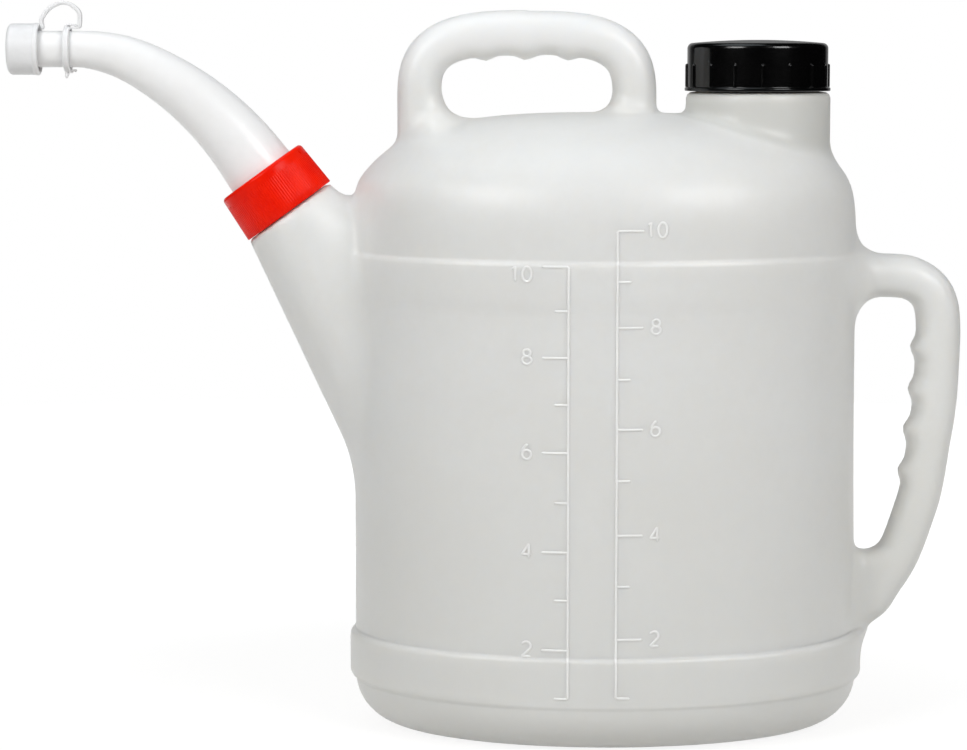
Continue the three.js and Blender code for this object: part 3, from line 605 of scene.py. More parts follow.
def can_distance(x, y, z):
    """The whole can's distance: its oval, neck, branch and handles melted together, one after another."""
    to_right = np.clip((x - neck.blend_start) / neck.blend_span, 0, 1)
    neck_blend = neck.left_blend + (neck.right_blend - neck.left_blend) * to_right
    body = melt(oval_distance(x, y, z), neck_distance(x, y, z), neck_blend)
    body = melt(body, branch_distance(x, y, z), branch.blend)
    h = top_handle
    half, centre = (h.right - h.left) / 2, (h.right + h.left) / 2
    under = np.clip((half + h.blend_edge - np.abs(x - centre)) / (2 * h.blend_edge), 0, 1)
    inner = np.where(x < centre, h.left_blend, h.right_blend)
    body = melt(body, tube_distance(x, y, z, top_path, top_sizes), h.blend + inner * under)
    h = rear_handle
    rear_blend = np.where(z > h.blend_split, h.upper_blend, h.lower_blend)
    body = melt(body, tube_distance(x, y, z, rear_path, rear_sizes), rear_blend)
    return melt(body, web_distance(x, y, z), h.lower_blend)


at_front = can_distance(np.full(1, 1.0), np.full(1, -can.depth / 2 - 10), np.full(1, 150.0))
print("10 mm before the front, the distance is", at_front[0].round(2))

# %% [markdown]
# ## A surface net
#
# The field is measured on a grid of places. Each cell of the grid that the skin passes through gets one
# point, and each grid edge that pierces the skin gets one quad between the four cells round it. The points
# are then pushed along the field's slope until they lie on the skin, which makes it as smooth as its formula.


# %% A point in each crossed cell
def corner_of_cells(field, corner):
    """The field at the same corner of every cell: the whole array without one layer on each axis."""
    return field[tuple(slice(start, start + size - 1) for start, size in zip(corner, field.shape))]


def net_points(values, lines):
    """One point in each crossed cell, at the mean of its edges' crossings, and a cell for each point."""
    corners = [np.array([c & 1, c >> 1 & 1, c >> 2]) for c in range(8)]
    count = sum(corner_of_cells(values < 0, c).astype(np.int8) for c in corners)
    crossed = (count > 0) & (count < 8)
    total, hits = np.zeros((crossed.sum(), 3)), np.zeros(crossed.sum())
    for c in corners:
        for axis in range(3):
            if c[axis]:
                continue
            step = np.eye(3, dtype=int)[axis]
            a, b = (corner_of_cells(values, end)[crossed] for end in (c, c + step))
            cut = (a < 0) != (b < 0)
            share = np.where(cut, a / np.where(cut, a - b, 1), 0)
            total += cut[:, None] * (c + share[:, None] * step)
            hits += cut
    cells = np.argwhere(crossed)
    part = total / hits[:, None]
    places = []
    for k, line in enumerate(lines):
        low, high = line[cells[:, k]], line[cells[:, k] + 1]
        places.append(low + part[:, k] * (high - low))
    return np.column_stack(places), crossed


# %% A quad round each pierced edge
def net_quads(inside, crossed):
    """For each grid edge with one end inside, the points of its four cells, in the order that faces out."""
    index = np.full(crossed.shape, -1)
    index[crossed] = np.arange(crossed.sum())
    quads = []
    for axis in range(3):
        order = (axis, (axis + 1) % 3, (axis + 2) % 3)
        side, cell = inside.transpose(order), index.transpose(order)
        low, high = side[:-1, 1:-1, 1:-1], side[1:, 1:-1, 1:-1]
        i, j, k = np.nonzero(low != high)
        quad = np.column_stack((cell[i, j, k], cell[i, j + 1, k], cell[i, j + 1, k + 1], cell[i, j, k + 1]))
        quads.append(np.where(low[i, j, k][:, None], quad, quad[:, ::-1]))
    return np.vstack(quads)


row = np.linspace(-2, 2, 9)
ball = np.sqrt(sum(side ** 2 for side in np.meshgrid(row, row, row, indexing="ij"))) - 1.3
ball_points, ball_cells = net_points(ball, [row, row, row])
print("the net of a ball has", len(ball_points), "points and", len(net_quads(ball < 0, ball_cells)), "quads")


# %% Settling on the skin
def settle(points, field, level, rounds=4, reach=0.25, longest=1.2, flattest=0.05):
    """Newton's steps: each point moves by -value * slope / slope squared, until the field has the level."""
    for _ in range(rounds):
        value = field(*points.T) - level
        slope = np.column_stack([
            field(*(points + reach * way).T) - field(*(points - reach * way).T)
            for way in np.eye(3)]) / (2 * reach)
        move = value[:, None] * slope / np.maximum((slope ** 2).sum(1), flattest)[:, None]
        points = points - np.clip(move, -longest, longest)
    return points


settled = settle(ball_points, lambda x, y, z: np.sqrt(x * x + y * y + z * z) - 1.3, 0)
print("settled, they lie", np.linalg.norm(settled, axis=1).mean().round(4), "from its centre")


# %% The grid's places
fine_heights = [(20, 30), (45, 53.5), (252, 257), (336.5, 341)]
grid_box = Sizes(left=-192.6, right=197, front=-99.7, back=101, bottom=-4.3, top=388)


def grid_line(low, high, coarse, fine, windows):
    """Places from low to high at a coarse step, with a fine step inside each window."""
    steps = [low]
    while steps[-1] < high:
        here = steps[-1]
        steps.append(here + (fine if any(a <= here < b for a, b in windows) else coarse))
    return np.array(steps)


def can_solid(name, cell, fine, level):
    """The can's skin where its field has one level, with finer cells at the bands' and the neck's edges."""
    box = grid_box
    lines = [np.arange(box.left, box.right, cell), np.arange(box.front, box.back, cell),
             grid_line(box.bottom, box.top, cell, fine, fine_heights)]
    values = can_distance(*np.meshgrid(*lines, indexing="ij", sparse=True)) - level
    points, crossed = net_points(values, lines)
    quads = net_quads(values < 0, crossed)
    print(name, "grid", values.shape, "points", len(points), "quads", len(quads))
    return mesh_of(name, carry(settle(points, can_distance, level), can_frame), quads)


print("a fine stretch:", grid_line(0, 10, 4, 1, [(4, 6)]))


# %% Joining and cutting
def combined(base, tools):
    """One closed mesh: the base with each tool joined to it or cut from it."""
    for tool, operation in tools:
        modifier = base.modifiers.new(tool.name, "BOOLEAN")
        modifier.solver = "MANIFOLD"
        modifier.operation = operation
        modifier.object = tool
    whole = bpy.data.meshes.new_from_object(base.evaluated_get(bpy.context.evaluated_depsgraph_get()))
    base.modifiers.clear()
    base.data = whole
    for tool, _ in tools:
        bpy.data.objects.remove(tool)
    return base


def finish(name, part, place):
    """The narrower cylinder that a cap screws on, from its foot up to a rounded rim."""
    foot, r = part.finish_foot, rim_round
    rim = arc(part.finish - r, part.rim - r, r, 0, 90, 4)
    return turned(name, np.vstack(([(0, foot), (part.finish, foot)], rim, [(0, part.rim)])), place)


def bore(name, part, foot, place):
    """The cylinder that a finish's opening is cut with, from its foot up to past the rim."""
    top = part.rim + overrun
    return turned(name, [(0, foot), (part.bore, foot), (part.bore, top), (0, top)], place)


# %% The can
outer_cell, inner_cell, fine_cell = 2.9, 5.6, 0.75
can_skin = can_solid("can_skin", outer_cell, fine_cell, 0)
hollow = can_solid("hollow", inner_cell, inner_cell, -can.wall)
neck_finish = finish("neck_finish", neck, neck_frame)
branch_finish = finish("branch_finish", branch, branch_frame)
neck_bore = bore("neck_bore", neck, neck.root, neck_frame)
branch_bore = bore("branch_bore", branch, branch.bore_foot, branch_frame)
neck_thread = screw_ridge("neck_thread", neck.finish, neck_screw, neck_frame)
branch_thread = screw_ridge("branch_thread", branch.finish, branch_screw, branch_frame)
combined(can_skin, [
    (neck_finish, "UNION"), (branch_finish, "UNION"), (neck_thread, "UNION"), (branch_thread, "UNION"),
    (hollow, "DIFFERENCE"), (neck_bore, "DIFFERENCE"), (branch_bore, "DIFFERENCE")])
print("can_skin:", len(can_skin.data.vertices), "points,", len(can_skin.data.polygons), "faces")

# %% [markdown]
# ## The raised scale
#
# The scale on the front is cut into the mould, so on the can it stands out by half a millimetre. Each line,
# mark and numeral is a low rounded ridge along a path on the wall. Where the wall lies at each place is found
# from the same field as the skin, so the ridges follow the bands and the dome.

# %% Ridges on the wall
scale = Sizes(width=1.4, proud=0.45, sink=0.5, long_mark=13.6, short_mark=7.2, digit=7.6, digit_wide=4.6,
              pitch=6.2, digit_rise=0.4)
right_line = Sizes(x=2.9, side=1, digits=22.7, align=0.5, last_drop=0, heights=(
    31.0, 61.3, 88.9, 115.4, 143.6, 170.1, 195.7, 222.3, 245.8, 271.6))
left_line = Sizes(x=-21.9, side=-1, digits=-43.1, align=1, last_drop=4.4, heights=(
    30.4, 55.3, 81.4, 106.4, 132.0, 157.8, 182.6, 206.7, 230.6, 253.4))


def front_wall(x, z, rounds=16):
    """The y of the can's front at x and z, found by stepping in again and again by the distance left."""
    y = np.full(np.shape(x), -can.depth / 2 - overrun)
    for _ in range(rounds):
        y = y + can_distance(x, y, z)
    return y


def stroke(points, closed=False):
    """A ridge along a line of (x, z): half an oval across, thinned to a round end where it isn't closed."""
    path = dense(np.asarray(points, float), 0.6)
    line, way, full = path.points, path.way, np.ones((len(path.along), 1))
    if closed:
        line, full = line[:-1], full[:-1]
        way = np.roll(line, -1, 0) - np.roll(line, 1, 0)
        way = way / np.linalg.norm(way, axis=1)[:, None]
    else:
        near = np.minimum(path.along, path.along[-1] - path.along) / (scale.width / 2)
        full = np.sqrt(1 - (1 - np.clip(near, 0.02, 1)) ** 2)[:, None]
    across = np.array([-1, -0.92, -0.6, 0, 0.6, 0.92, 1]) * scale.width / 2
    rise = np.array([-scale.sink, 0.35, 0.8, 1, 0.8, 0.35, -scale.sink])
    rise = np.where(rise > 0, rise * scale.proud, rise) * full
    x = line[:, :1] - across * full * way[:, 1:]
    z = line[:, 1:] + across * full * way[:, :1]
    return skin(np.stack((x, front_wall(x, z) - rise, z), -1), wrap_rows=closed)


print("the front wall at half height lies at y =", front_wall(np.zeros(1), np.full(1, 150.0)).round(2))

# %% [markdown]
# A numeral is a few strokes in a square of side 1: straight lines, and arcs of ovals. A function turns the
# number's text into strokes of the right size at the right place.


# %% Numerals
def oval(x, z, half_wide, half_high, start=0, end=360):
    """Points on an oval from one angle to another, in degrees: x + half wide cos a, z + half high sin a."""
    a = np.radians(np.linspace(start, end, 25))
    return np.column_stack((x + half_wide * np.cos(a), z + half_high * np.sin(a)))


numerals = {
    "0": [(oval(0.5, 0.5, 0.5, 0.5), True)],
    "1": [([(0.2, 0.78), (0.55, 1), (0.55, 0)], False)],
    "2": [(np.vstack((oval(0.5, 0.7, 0.48, 0.3, 165, -38), [(0.02, 0), (1, 0)])), False)],
    "4": [([(0.76, 0), (0.76, 1), (0, 0.28), (1.05, 0.28)], False)],
    "6": [(oval(0.5, 0.31, 0.5, 0.31), True), (oval(0.78, 0.36, 0.78, 0.66, 98, 176), False)],
    "8": [(oval(0.5, 0.76, 0.4, 0.24), True), (oval(0.5, 0.27, 0.5, 0.27), True)],
}


def numeral_strokes(text, x, z, align):
    """The strokes of a number about x and z: align is 0.5 to centre it, and 1 to centre its last digit."""
    for k, digit in enumerate(text):
        left = x - scale.digit_wide / 2 + scale.pitch * (k - (len(text) - 1) * align)
        for points, closed in numerals[digit]:
            yield np.asarray(points) * [scale.digit_wide, scale.digit] + [left, z - scale.digit / 2], closed


def scale_strokes(line):
    """A line up the wall, a mark for each unit, and a long mark with a number at each second one."""
    low, high = line.heights[0], line.heights[-1]
    yield [(line.x, low), (line.x, high)], False
    for k, z in enumerate(line.heights):
        reach = scale.long_mark if k % 2 else scale.short_mark
        yield [(line.x, z), (line.x + line.side * reach, z)], False
        if k % 2:
            drop = line.last_drop if k == len(line.heights) - 1 else 0
            yield from numeral_strokes(str(k + 1), line.digits, z + scale.digit_rise - drop, line.align)


def solid_stroke(points, closed):
    """One ridge as an object, in the can's frame."""
    points, *faces = stroke(points, closed)
    return mesh_of("stroke", carry(points, can_frame), *faces)


strokes = [solid_stroke(*one) for line in (right_line, left_line) for one in scale_strokes(line)]
scale_relief = combined(strokes[0], [(one, "UNION") for one in strokes[1:]])
scale_relief.name = scale_relief.data.name = "scale_relief"
print("the scale has", len(strokes), "ridges with", len(scale_relief.data.polygons), "faces")

# %% [markdown]
# ## The filler cap
#
# An injection-moulded cap: a crowned plate with a rounded edge, a straight skirt with sixteen thin ribs for
# the hand, and a bead round its lower edge. A rib is only a change of the skirt's radius with the angle, so
# the cap is still one turned profile. Its columns crowd together at the ribs, where the shape is.


# %% The filler cap
def cap_angles():
    """Angles that crowd round each rib, so that a rib is drawn by nine columns."""
    middle_of = TURN * np.arange(cap.ribs) / cap.ribs - math.pi / 2 + math.radians(cap.first_rib)
    near = np.array([-1.25, -1, -0.8, -0.45, 0, 0.45, 0.8, 1, 1.25]) * cap.rib_width / 2 / cap.radius
    between = np.linspace(0.1, TURN / cap.ribs - 0.1, 8)[1:-1]
    return (middle_of[:, None] + np.concatenate((near, between))).ravel()


def cap_ribs(profile, angles):
    """How far a rib stands out: proud * (1 - (distance / half width) ** 2) ** 0.6, on the skirt alone."""
    turn = (angles + math.pi / 2 - math.radians(cap.first_rib)) / TURN * cap.ribs
    across = (turn - np.round(turn)) * TURN / cap.ribs * cap.radius
    top = cap.bottom + cap.height - cap.rib_top - cap.rib_width / 2
    past = np.hypot(across, np.maximum(0, profile[:, 1:] - top)) / (cap.rib_width / 2)
    skirt = (profile[:, :1] > cap.radius - 0.01) & (profile[:, :1] < cap.radius + 0.2)
    return skirt * cap.rib_proud * np.clip(1 - past ** 2, 0, 1) ** 0.6


def cap_profile():
    """A crown that falls by the square of the radius, a rounded edge, the skirt, the bead and the inside."""
    c = cap
    top, flat, proud = c.bottom + c.height, c.radius - c.edge, c.radius + c.bead
    share = np.linspace(0, 1, 12)
    crowned = np.column_stack((flat * share, top + c.crown * (1 - share ** 2)))
    rib_top = top - c.rib_top
    rows = np.concatenate((rib_top + np.array([1.2, 0.3, 0, -0.2, -0.45, -0.8, -1.3]),
                           np.linspace(rib_top - 3, c.bottom + c.bead_height + 0.6, 5)))
    skirt = np.column_stack((np.full(len(rows), c.radius), rows))
    return np.vstack((
        crowned[:-1], arc(flat, top - c.edge, c.edge, 90, 0, 12), skirt,
        arc(c.radius + 0.45, c.bottom + c.bead_height + 0.45, 0.45, 180, 270, 3),
        arc(proud - c.bead_round, c.bottom + c.bead_height - c.bead_round, c.bead_round, 90, 0, 5),
        arc(proud - 0.5, c.bottom + 0.5, 0.5, 0, -90, 4),
        [(c.bore + blunt, c.bottom), (c.bore, c.bottom + blunt), (c.bore, c.ceiling - 1),
         (c.bore - 1, c.ceiling), (0, c.ceiling)]))


cap_shell = turned("cap_shell", cap_profile(), neck_frame, cap_angles(), cap_ribs)
cap_thread = screw_ridge("cap_thread", cap.bore, cap_screw, neck_frame, inward=True)
combined(cap_shell, [(cap_thread, "UNION")])
print("cap_shell:", len(cap_shell.data.polygons), "faces")

# %% [markdown]
# ## The seal and the gasket
#
# Two parts that nobody sees while the can is closed: a punched foam disc under the cap's plate, and a rubber
# ring between the branch and the spout. Both are turned, and have rounded edges.


# %% Seal and gasket
def pad_profile(inside, outside, bottom, thickness, round_edge):
    """A flat ring, or a disc where its inside is 0: a rectangle with a quarter of a circle at each corner."""
    r, top = round_edge, bottom + thickness
    outer = np.vstack((arc(outside - r, bottom + r, r, -90, 0, 4), arc(outside - r, top - r, r, 0, 90, 4)))
    if not inside:
        return np.vstack(([(0, bottom)], outer, [(0, top)]))
    inner = np.vstack((arc(inside + r, top - r, r, 90, 180, 4), arc(inside + r, bottom + r, r, 180, 270, 4)))
    return np.vstack((outer, inner))


liner_profile = pad_profile(0, seal.radius, seal.bottom, seal.thickness, seal.round)
cap_liner = turned("cap_liner", liner_profile, neck_frame)
gasket_profile = pad_profile(gasket.inside, gasket.outside, gasket.bottom, gasket.thickness, gasket.round)
flat_gasket = turned("flat_gasket", gasket_profile, branch_frame)
print("faces of the two pads:", len(cap_liner.data.polygons), "and", len(flat_gasket.data.polygons))

# %% [markdown]
# ## The red collar
#
# The collar is a screwed ring. Its skirt carries about 120 very fine ribs that stop short of a smooth band at
# the top, and its rounded upper edge runs into a plate that holds the spout's flange down.


# %% The collar
def collar_ribs(profile, angles):
    """The skirt's ribs: half the depth times (cos - 1) of the ribs' angle, let in below the smooth band."""
    height = profile[:, 1:]
    skirt = (profile[:, :1] > collar.top - 0.01) & (height > -0.01)
    window = np.clip((collar.height - collar.smooth - height) / collar.rib_fade, 0, 1)
    return skirt * window * collar.rib_depth * (np.cos(collar.ribs * angles) - 1) / 2


def collar_profile():
    """The plate's hole, a rounded shoulder, a skirt that widens evenly downward, and the inside."""
    c = collar
    inner_top, shoulder, ribs_top = c.height - c.plate, c.height - c.edge, c.height - c.smooth
    heights = np.array([ribs_top, ribs_top - c.rib_fade / 2, ribs_top - c.rib_fade, 15, 10, 5, 0.3])
    side = c.top + (c.bottom - c.top) * (shoulder - heights) / shoulder
    return np.vstack((
        arc(c.hole + c.lip, c.height - c.lip, c.lip, 180, 90, 3),
        arc(c.top - c.edge, shoulder, c.edge, 90, 0, 10),
        np.column_stack((side, heights)),
        [(c.bottom - 0.3, 0), (c.bore + blunt, 0), (c.bore, blunt), (c.bore, inner_top - 0.6),
         (c.bore - 0.6, inner_top), (c.hole + 0.3, inner_top), (c.hole, inner_top + 0.3)]))


collar_nut = turned("collar_nut", collar_profile(), branch_frame, even(collar.ribs * 6), collar_ribs)
collar_thread = screw_ridge("collar_thread", collar.bore, collar_screw, branch_frame, inward=True)
combined(collar_nut, [(collar_thread, "UNION")])
print("collar_nut:", len(collar_nut.data.polygons), "faces")

# %% [markdown]
# ## The spout
#
# A tapered tube that bends from the branch's slant to level. Its profile is a list of (radius, length along
# the axis), and the axis itself bends. The flange lies under the collar, and the bead near the tip holds the
# tip cap.


# %% The spout
def spout_radius(along):
    """The outer radius: base, then base - (base - tip) * share of the way ** taper, and tip at the end."""
    start, end = collar.height - spout.start, spout_length - spout.tip_plain
    share = np.clip((along - start) / (end - start), 0, 1)
    return spout.base - (spout.base - spout.tip) * share ** spout.taper


def spout_profile():
    """The flange, the taper, the bead as half an ellipse, the rounded tip, and the inside one wall deeper."""
    s = spout
    half_bead = s.bead_height / 2
    bead_start = spout_length - s.bead_setback - s.bead_height
    along = np.concatenate((np.arange(collar.height - s.start, bead_start - 1, 2.2), [bead_start]))
    outer = np.column_stack((spout_radius(along), along))
    bead = arc(0, 0, 1, -90, 90, 8) * [s.bead, half_bead] + [s.tip, bead_start + half_bead]
    inside = np.concatenate(([spout_length - blunt], along[::-2], [blunt]))
    return np.vstack((
        [(gasket.outside - blunt, 0)], arc(gasket.outside - 0.5, s.flange - 0.5, 0.5, 0, 90, 4),
        [(s.base + 0.6, s.flange), (s.base, s.flange + 0.6)], outer, bead,
        arc(s.tip - 0.5, spout_length - 0.5, 0.5, 0, 90, 4),
        np.column_stack((spout_radius(inside) - s.wall, inside)),
        [(s.base - s.wall + blunt, 0)]))


spout_tube = turned("spout_tube", spout_profile(), branch_frame, even(96), axis=spout_axis)
print("spout_tube:", len(spout_tube.data.polygons), "faces over", round(spout_length, 1), "mm")

# %% [markdown]
# ## The tip cap, its ring and its strap
#
# These are one soft moulding on the real can: a cup pushed over the spout's bead, a thin strap that arches
# back, and a ring round the spout. The ring has a low loop on top, where the strap's foot sits, and a pointed
# tail below that was once the sprue. The strap is a flat band along a smooth line through a few points.


# %% The tip cap
def tip_profile():
    """A low crown, a rounded edge, a straight side with a proud rim, and the inside of the cup."""
    t = tip
    end = t.gap + t.end
    back = end - t.length
    wide = t.radius + t.rim_proud
    return np.vstack((
        [(0, end + t.crown), ((t.radius - t.round) * 0.5, end + t.crown * 0.76)],
        arc(t.radius - t.round, end - t.round, t.round, 90, 0, 10),
        [(t.radius, back + t.rim + 0.6)],
        arc(wide - 0.4, back + t.rim - 0.4, 0.4, 60, 0, 3),
        arc(wide - t.lip, back + t.lip, t.lip, 0, -90, 6),
        arc(t.radius - t.wall + 0.3, back + 0.3, 0.3, -90, -180, 3),
        [(t.radius - t.wall, t.gap - 1.2), (t.radius - t.wall - 1.2, t.gap), (0, t.gap)]))


tip_cup = turned("tip_cup", tip_profile(), tip_frame, even(80))
tip_back = tip.gap + tip.end - tip.length
print("tip_cup: open end", round(-tip_back, 2), "mm behind the spout's end")


# %% Bands
def band(name, points, thick, wide, place, taper=None, power=5, spacing=0.6, columns=28):
    """A flat band along a smooth line: its section is cos a and sin a to the power 2 / power, rounded off."""
    path = dense(smooth_line(np.asarray(points, float)), spacing)
    near = np.minimum(path.along, path.along[-1] - path.along) / (thick / 2)
    full = np.sqrt(1 - (1 - np.clip(near, 0.05, 1)) ** 2)
    if taper is not None:
        full = full * np.interp(path.along / path.along[-1], *taper)
    a = even(columns)
    out = thick / 2 * full[:, None] * superellipse(np.cos(a), power)
    side = (wide / 2 - (thick / 2) * (1 - np.minimum(full, 1)))[:, None] * superellipse(np.sin(a), power)
    x = path.points[:, :1] + out * path.normal[:, :1]
    z = path.points[:, 1:] + out * path.normal[:, 1:]
    return mesh_of(name, *skin(carry(np.stack((x, side, z), -1), place)))


def nub(name, x, z, half):
    """A small egg in the ring's frame: half sizes times cos a cos b, cos a sin b and sin a."""
    a = np.radians(np.linspace(-80, 80, 9))[:, None]
    b = even(16)
    grid = np.stack((x + half[0] * np.cos(a) * np.cos(b), half[1] * np.cos(a) * np.sin(b),
                     z + half[2] * np.sin(a) + 0 * b), -1)
    return mesh_of(name, *skin(carry(grid, tip_frame)))


print("the ring will stand", round(ring.setback, 1), "mm behind the cup")

# %% The ring
ring_front = tip_back - ring.setback
ring_back = ring_front - ring.width
outside = ring.bore + ring.thickness
strap_ring = turned("strap_ring", np.vstack((
    arc(outside - 0.7, ring_front - 0.7, 0.7, 90, 0, 4), arc(outside - 0.7, ring_back + 0.7, 0.7, 0, -90, 4),
    arc(ring.bore + 0.3, ring_back + 0.3, 0.3, -90, -180, 3),
    arc(ring.bore + 0.3, ring_front - 0.3, 0.3, 180, 90, 3))), tip_frame, even(80))
on_ring = np.array([ring.bore, ring_front])
loop = band("loop", on_ring + [(0.5, -0.5), (1.9, -0.9), (2.5, -2.6), (2.3, -4.8), (1.5, -6.6), (0.75, -8)],
            1.2, ring.tab_width, tip_frame)
tongue = band("tongue", on_ring + [(0.6, -1), (0.6, -5), (0.65, -8.2)], 1.1, ring.tab_width, tip_frame)
tail = band("tail", [(-ring.bore - 0.6, ring_front - 1.5), (-outside - 1, ring_front - 1.1),
                     (-outside - 3.2, ring_front - 0.75)],
            2.4, 2.2, tip_frame, taper=([0, 0.4, 1], [1, 1, 0.6]), power=3, spacing=0.4)
foot = band("foot", np.array([-ring.bore, ring_back]) + [(-0.7, 1.5), (-0.7, -2.6)], 1.1, 3, tip_frame)
nubs = [nub("nub_one", -ring.bore - 1.2, ring_back - 0.3, (1.1, 1.2, 1.1)),
        nub("nub_two", -ring.bore - 0.9, ring_back - 2.4, (0.8, 0.9, 0.8))]
combined(strap_ring, [(part, "UNION") for part in (loop, tongue, tail, foot, *nubs)])
print("strap_ring:", len(strap_ring.data.polygons), "faces")

# %% The strap
strap_line = [(-280.7, 374.1), (-280.3, 377.5), (-280.5, 382.0), (-283.0, 385.2), (-287.0, 387.3),
              (-291.2, 387.3), (-296.5, 384.6), (-299.9, 380.5), (-300.9, 377.9), (-300.4, 375.4),
              (-300.35, 373.4)]
flex_strap = band("flex_strap", strap_line, strap.thickness, strap.width, can_frame, columns=32)
print("flex_strap:", len(flex_strap.data.polygons), "faces")

# %% [markdown]
# ## Who moves with whom
#
# Each piece takes its solid's place, and each but the strap rides on its body. The strap runs from the ring
# to the tip cap, and these two part when the cap is pulled off; the places of its two ends are worked out
# here, but the strap rides on no body.

# %% Bodies, nodes and slots
for piece, body, node, slot in (
        (can_skin, "can", "can_body", "can_plastic"), (scale_relief, "can", "can_body", "can_plastic"),
        (cap_shell, "filler_cap", "filler_cap", "cap_plastic"),
        (cap_liner, "filler_seal", "filler_seal", "liner_foam"),
        (collar_nut, "spout_collar", "spout_collar", "collar_plastic"),
        (flat_gasket, "spout_gasket", "spout_gasket", "gasket_rubber"),
        (spout_tube, "spout", "spout", "spout_plastic"), (tip_cup, "spout_cap", "spout_cap", "tip_plastic"),
        (strap_ring, "tether_ring", "tether_ring", "tip_plastic")):
    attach(piece, body)
    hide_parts(node)
strap_from, strap_to, strap_level = -281, -301, 380
strap_start, strap_end = (Vector(((middle + x) * MM, 0, strap_level * MM)) for x in (strap_from, strap_to))
print("the strap blends over", round((strap_start - strap_end).length / MM, 1), "mm")
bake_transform(flex_strap)
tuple(strap_start)
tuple(strap_end)
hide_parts("tether_strap")

# %% [markdown]
# ## Shader maths in Python
#
# A material is a small graph of nodes. To read like maths, one class wraps a socket: its operators add Math
# nodes, and its node method adds any other node with its settings and its inputs.


# %% One class for sockets
class Signal:
    """A socket in a material. Arithmetic on it adds Math nodes, and node() adds any other kind of node."""

    def __init__(self, tree, socket=None):
        self.tree, self.socket = tree, socket

    def node(self, kind, settings, inputs, output=0):
        """A node of that kind, with its settings first and then its inputs, as values or as other signals."""
        made = self.tree.nodes.new(kind)
        for name, value in settings.items():
            setattr(made, name, value)
        for name, value in inputs.items():
            if isinstance(value, Signal):
                self.tree.links.new(value.socket, made.inputs[name])
            else:
                made.inputs[name].default_value = value
        return Signal(self.tree, made.outputs[output])

    def maths(self, operation, *values):
        """A Math node of that operation on one, two or three values."""
        return self.node("ShaderNodeMath", {"operation": operation}, dict(enumerate(values)))

    def __add__(self, other):
        return self.maths("ADD", self, other)

    __radd__ = __add__

    def __sub__(self, other):
        return self.maths("SUBTRACT", self, other)

    def __rsub__(self, other):
        return self.maths("SUBTRACT", other, self)

    def __mul__(self, other):
        return self.maths("MULTIPLY", self, other)

    __rmul__ = __mul__

    def within(self, low, high):
        """0 below low, 1 above high, and a smooth step between."""
        return self.node("ShaderNodeMapRange", {"interpolation_type": "SMOOTHSTEP"},
                         {"Value": self, "From Min": low, "From Max": high})

    def mix(self, first, second):
        """One colour where this is 0 and the other where it is 1."""
        return self.node("ShaderNodeMix", {"data_type": "RGBA"}, {0: self, 6: first, 7: second}, 2)

    def noise(self, size, detail=3, rough=0.55):
        """Noise whose lumps are about that many millimetres across, read at this place."""
        return self.node("ShaderNodeTexNoise", {}, {
            "Vector": self, "Scale": 1 / (size * MM), "Detail": detail, "Roughness": rough})

    def bump(self, height):
        """A normal bumped by this signal, where 1 stands for that many millimetres."""
        return self.node("ShaderNodeBump", {}, {"Height": self, "Distance": height * MM, "Strength": 1.0})

    def axis(self, name):
        """One number of a place: X, Y or Z."""
        return self.node("ShaderNodeSeparateXYZ", {}, {"Vector": self}, name)

    def far(self, place=(0, 0, 0)):
        """How far this place is from another one, in metres."""
        way = self.node("ShaderNodeVectorMath", {"operation": "SUBTRACT"}, {0: self, 1: place})
        return self.node("ShaderNodeVectorMath", {"operation": "LENGTH"}, {0: way}, "Value")


print("operators on a signal:", sorted(name for name in vars(Signal) if name.startswith("__r")))


# %% A material from constants and a pattern
def material(name, constants, pattern):
    """A principled material: constants go on its sockets, and pattern returns what varies over a piece."""
    made = bpy.data.materials.new(name)
    made.use_nodes = True
    shader = made.node_tree.nodes["Principled BSDF"]
    for socket, value in constants.items():
        shader.inputs[socket].default_value = value
    place = Signal(made.node_tree).node("ShaderNodeTexCoord", {}, {}, "Object")
    for socket, signal in pattern(place).items():
        made.node_tree.links.new(signal.socket, shader.inputs[socket])
    return made


def rgb(r, g, b):
    """A colour of linear red, green and blue, with full cover."""
    return (r, g, b, 1)


def clouds(wide, small, share):
    """Wide noise times a share plus small noise times the rest, stretched to run from 0 to 1."""
    return (wide * share + small * (1 - share)).within(0.3, 0.7)


# %% [markdown]
# ## Milky polyethylene
#
# Natural polyethylene is neither white nor clear. Light enters it, scatters and comes out a few millimetres
# away, which softens every edge, so it has subsurface scattering. The wall isn't equally thick all over,
# which shows as faint clouds. Low down and round the neck the colour is painted darker, a painted shade for
# the lower wall that gets less light and for the cap's shadow on the neck. The grip on top is painted paler,
# a painted glow for the light that comes through it. Its skin has the satin of the mould, and a fine line
# runs round in the middle plane, where the two halves of the mould met.


# %% The can's plastic
# Where the colour is painted: painted shade round the neck and low down, a painted glow over the top grip,
# and the parting line's width.
shade = Sizes(neck_z=332, neck_near=43, neck_far=52, low=15, high=235, low_share=0.46, grip_low=335,
              grip_high=375, parting_in=0.25, parting_out=0.8)
neck_middle = (neck_frame[0, 3] * MM, 0, shade.neck_z * MM)


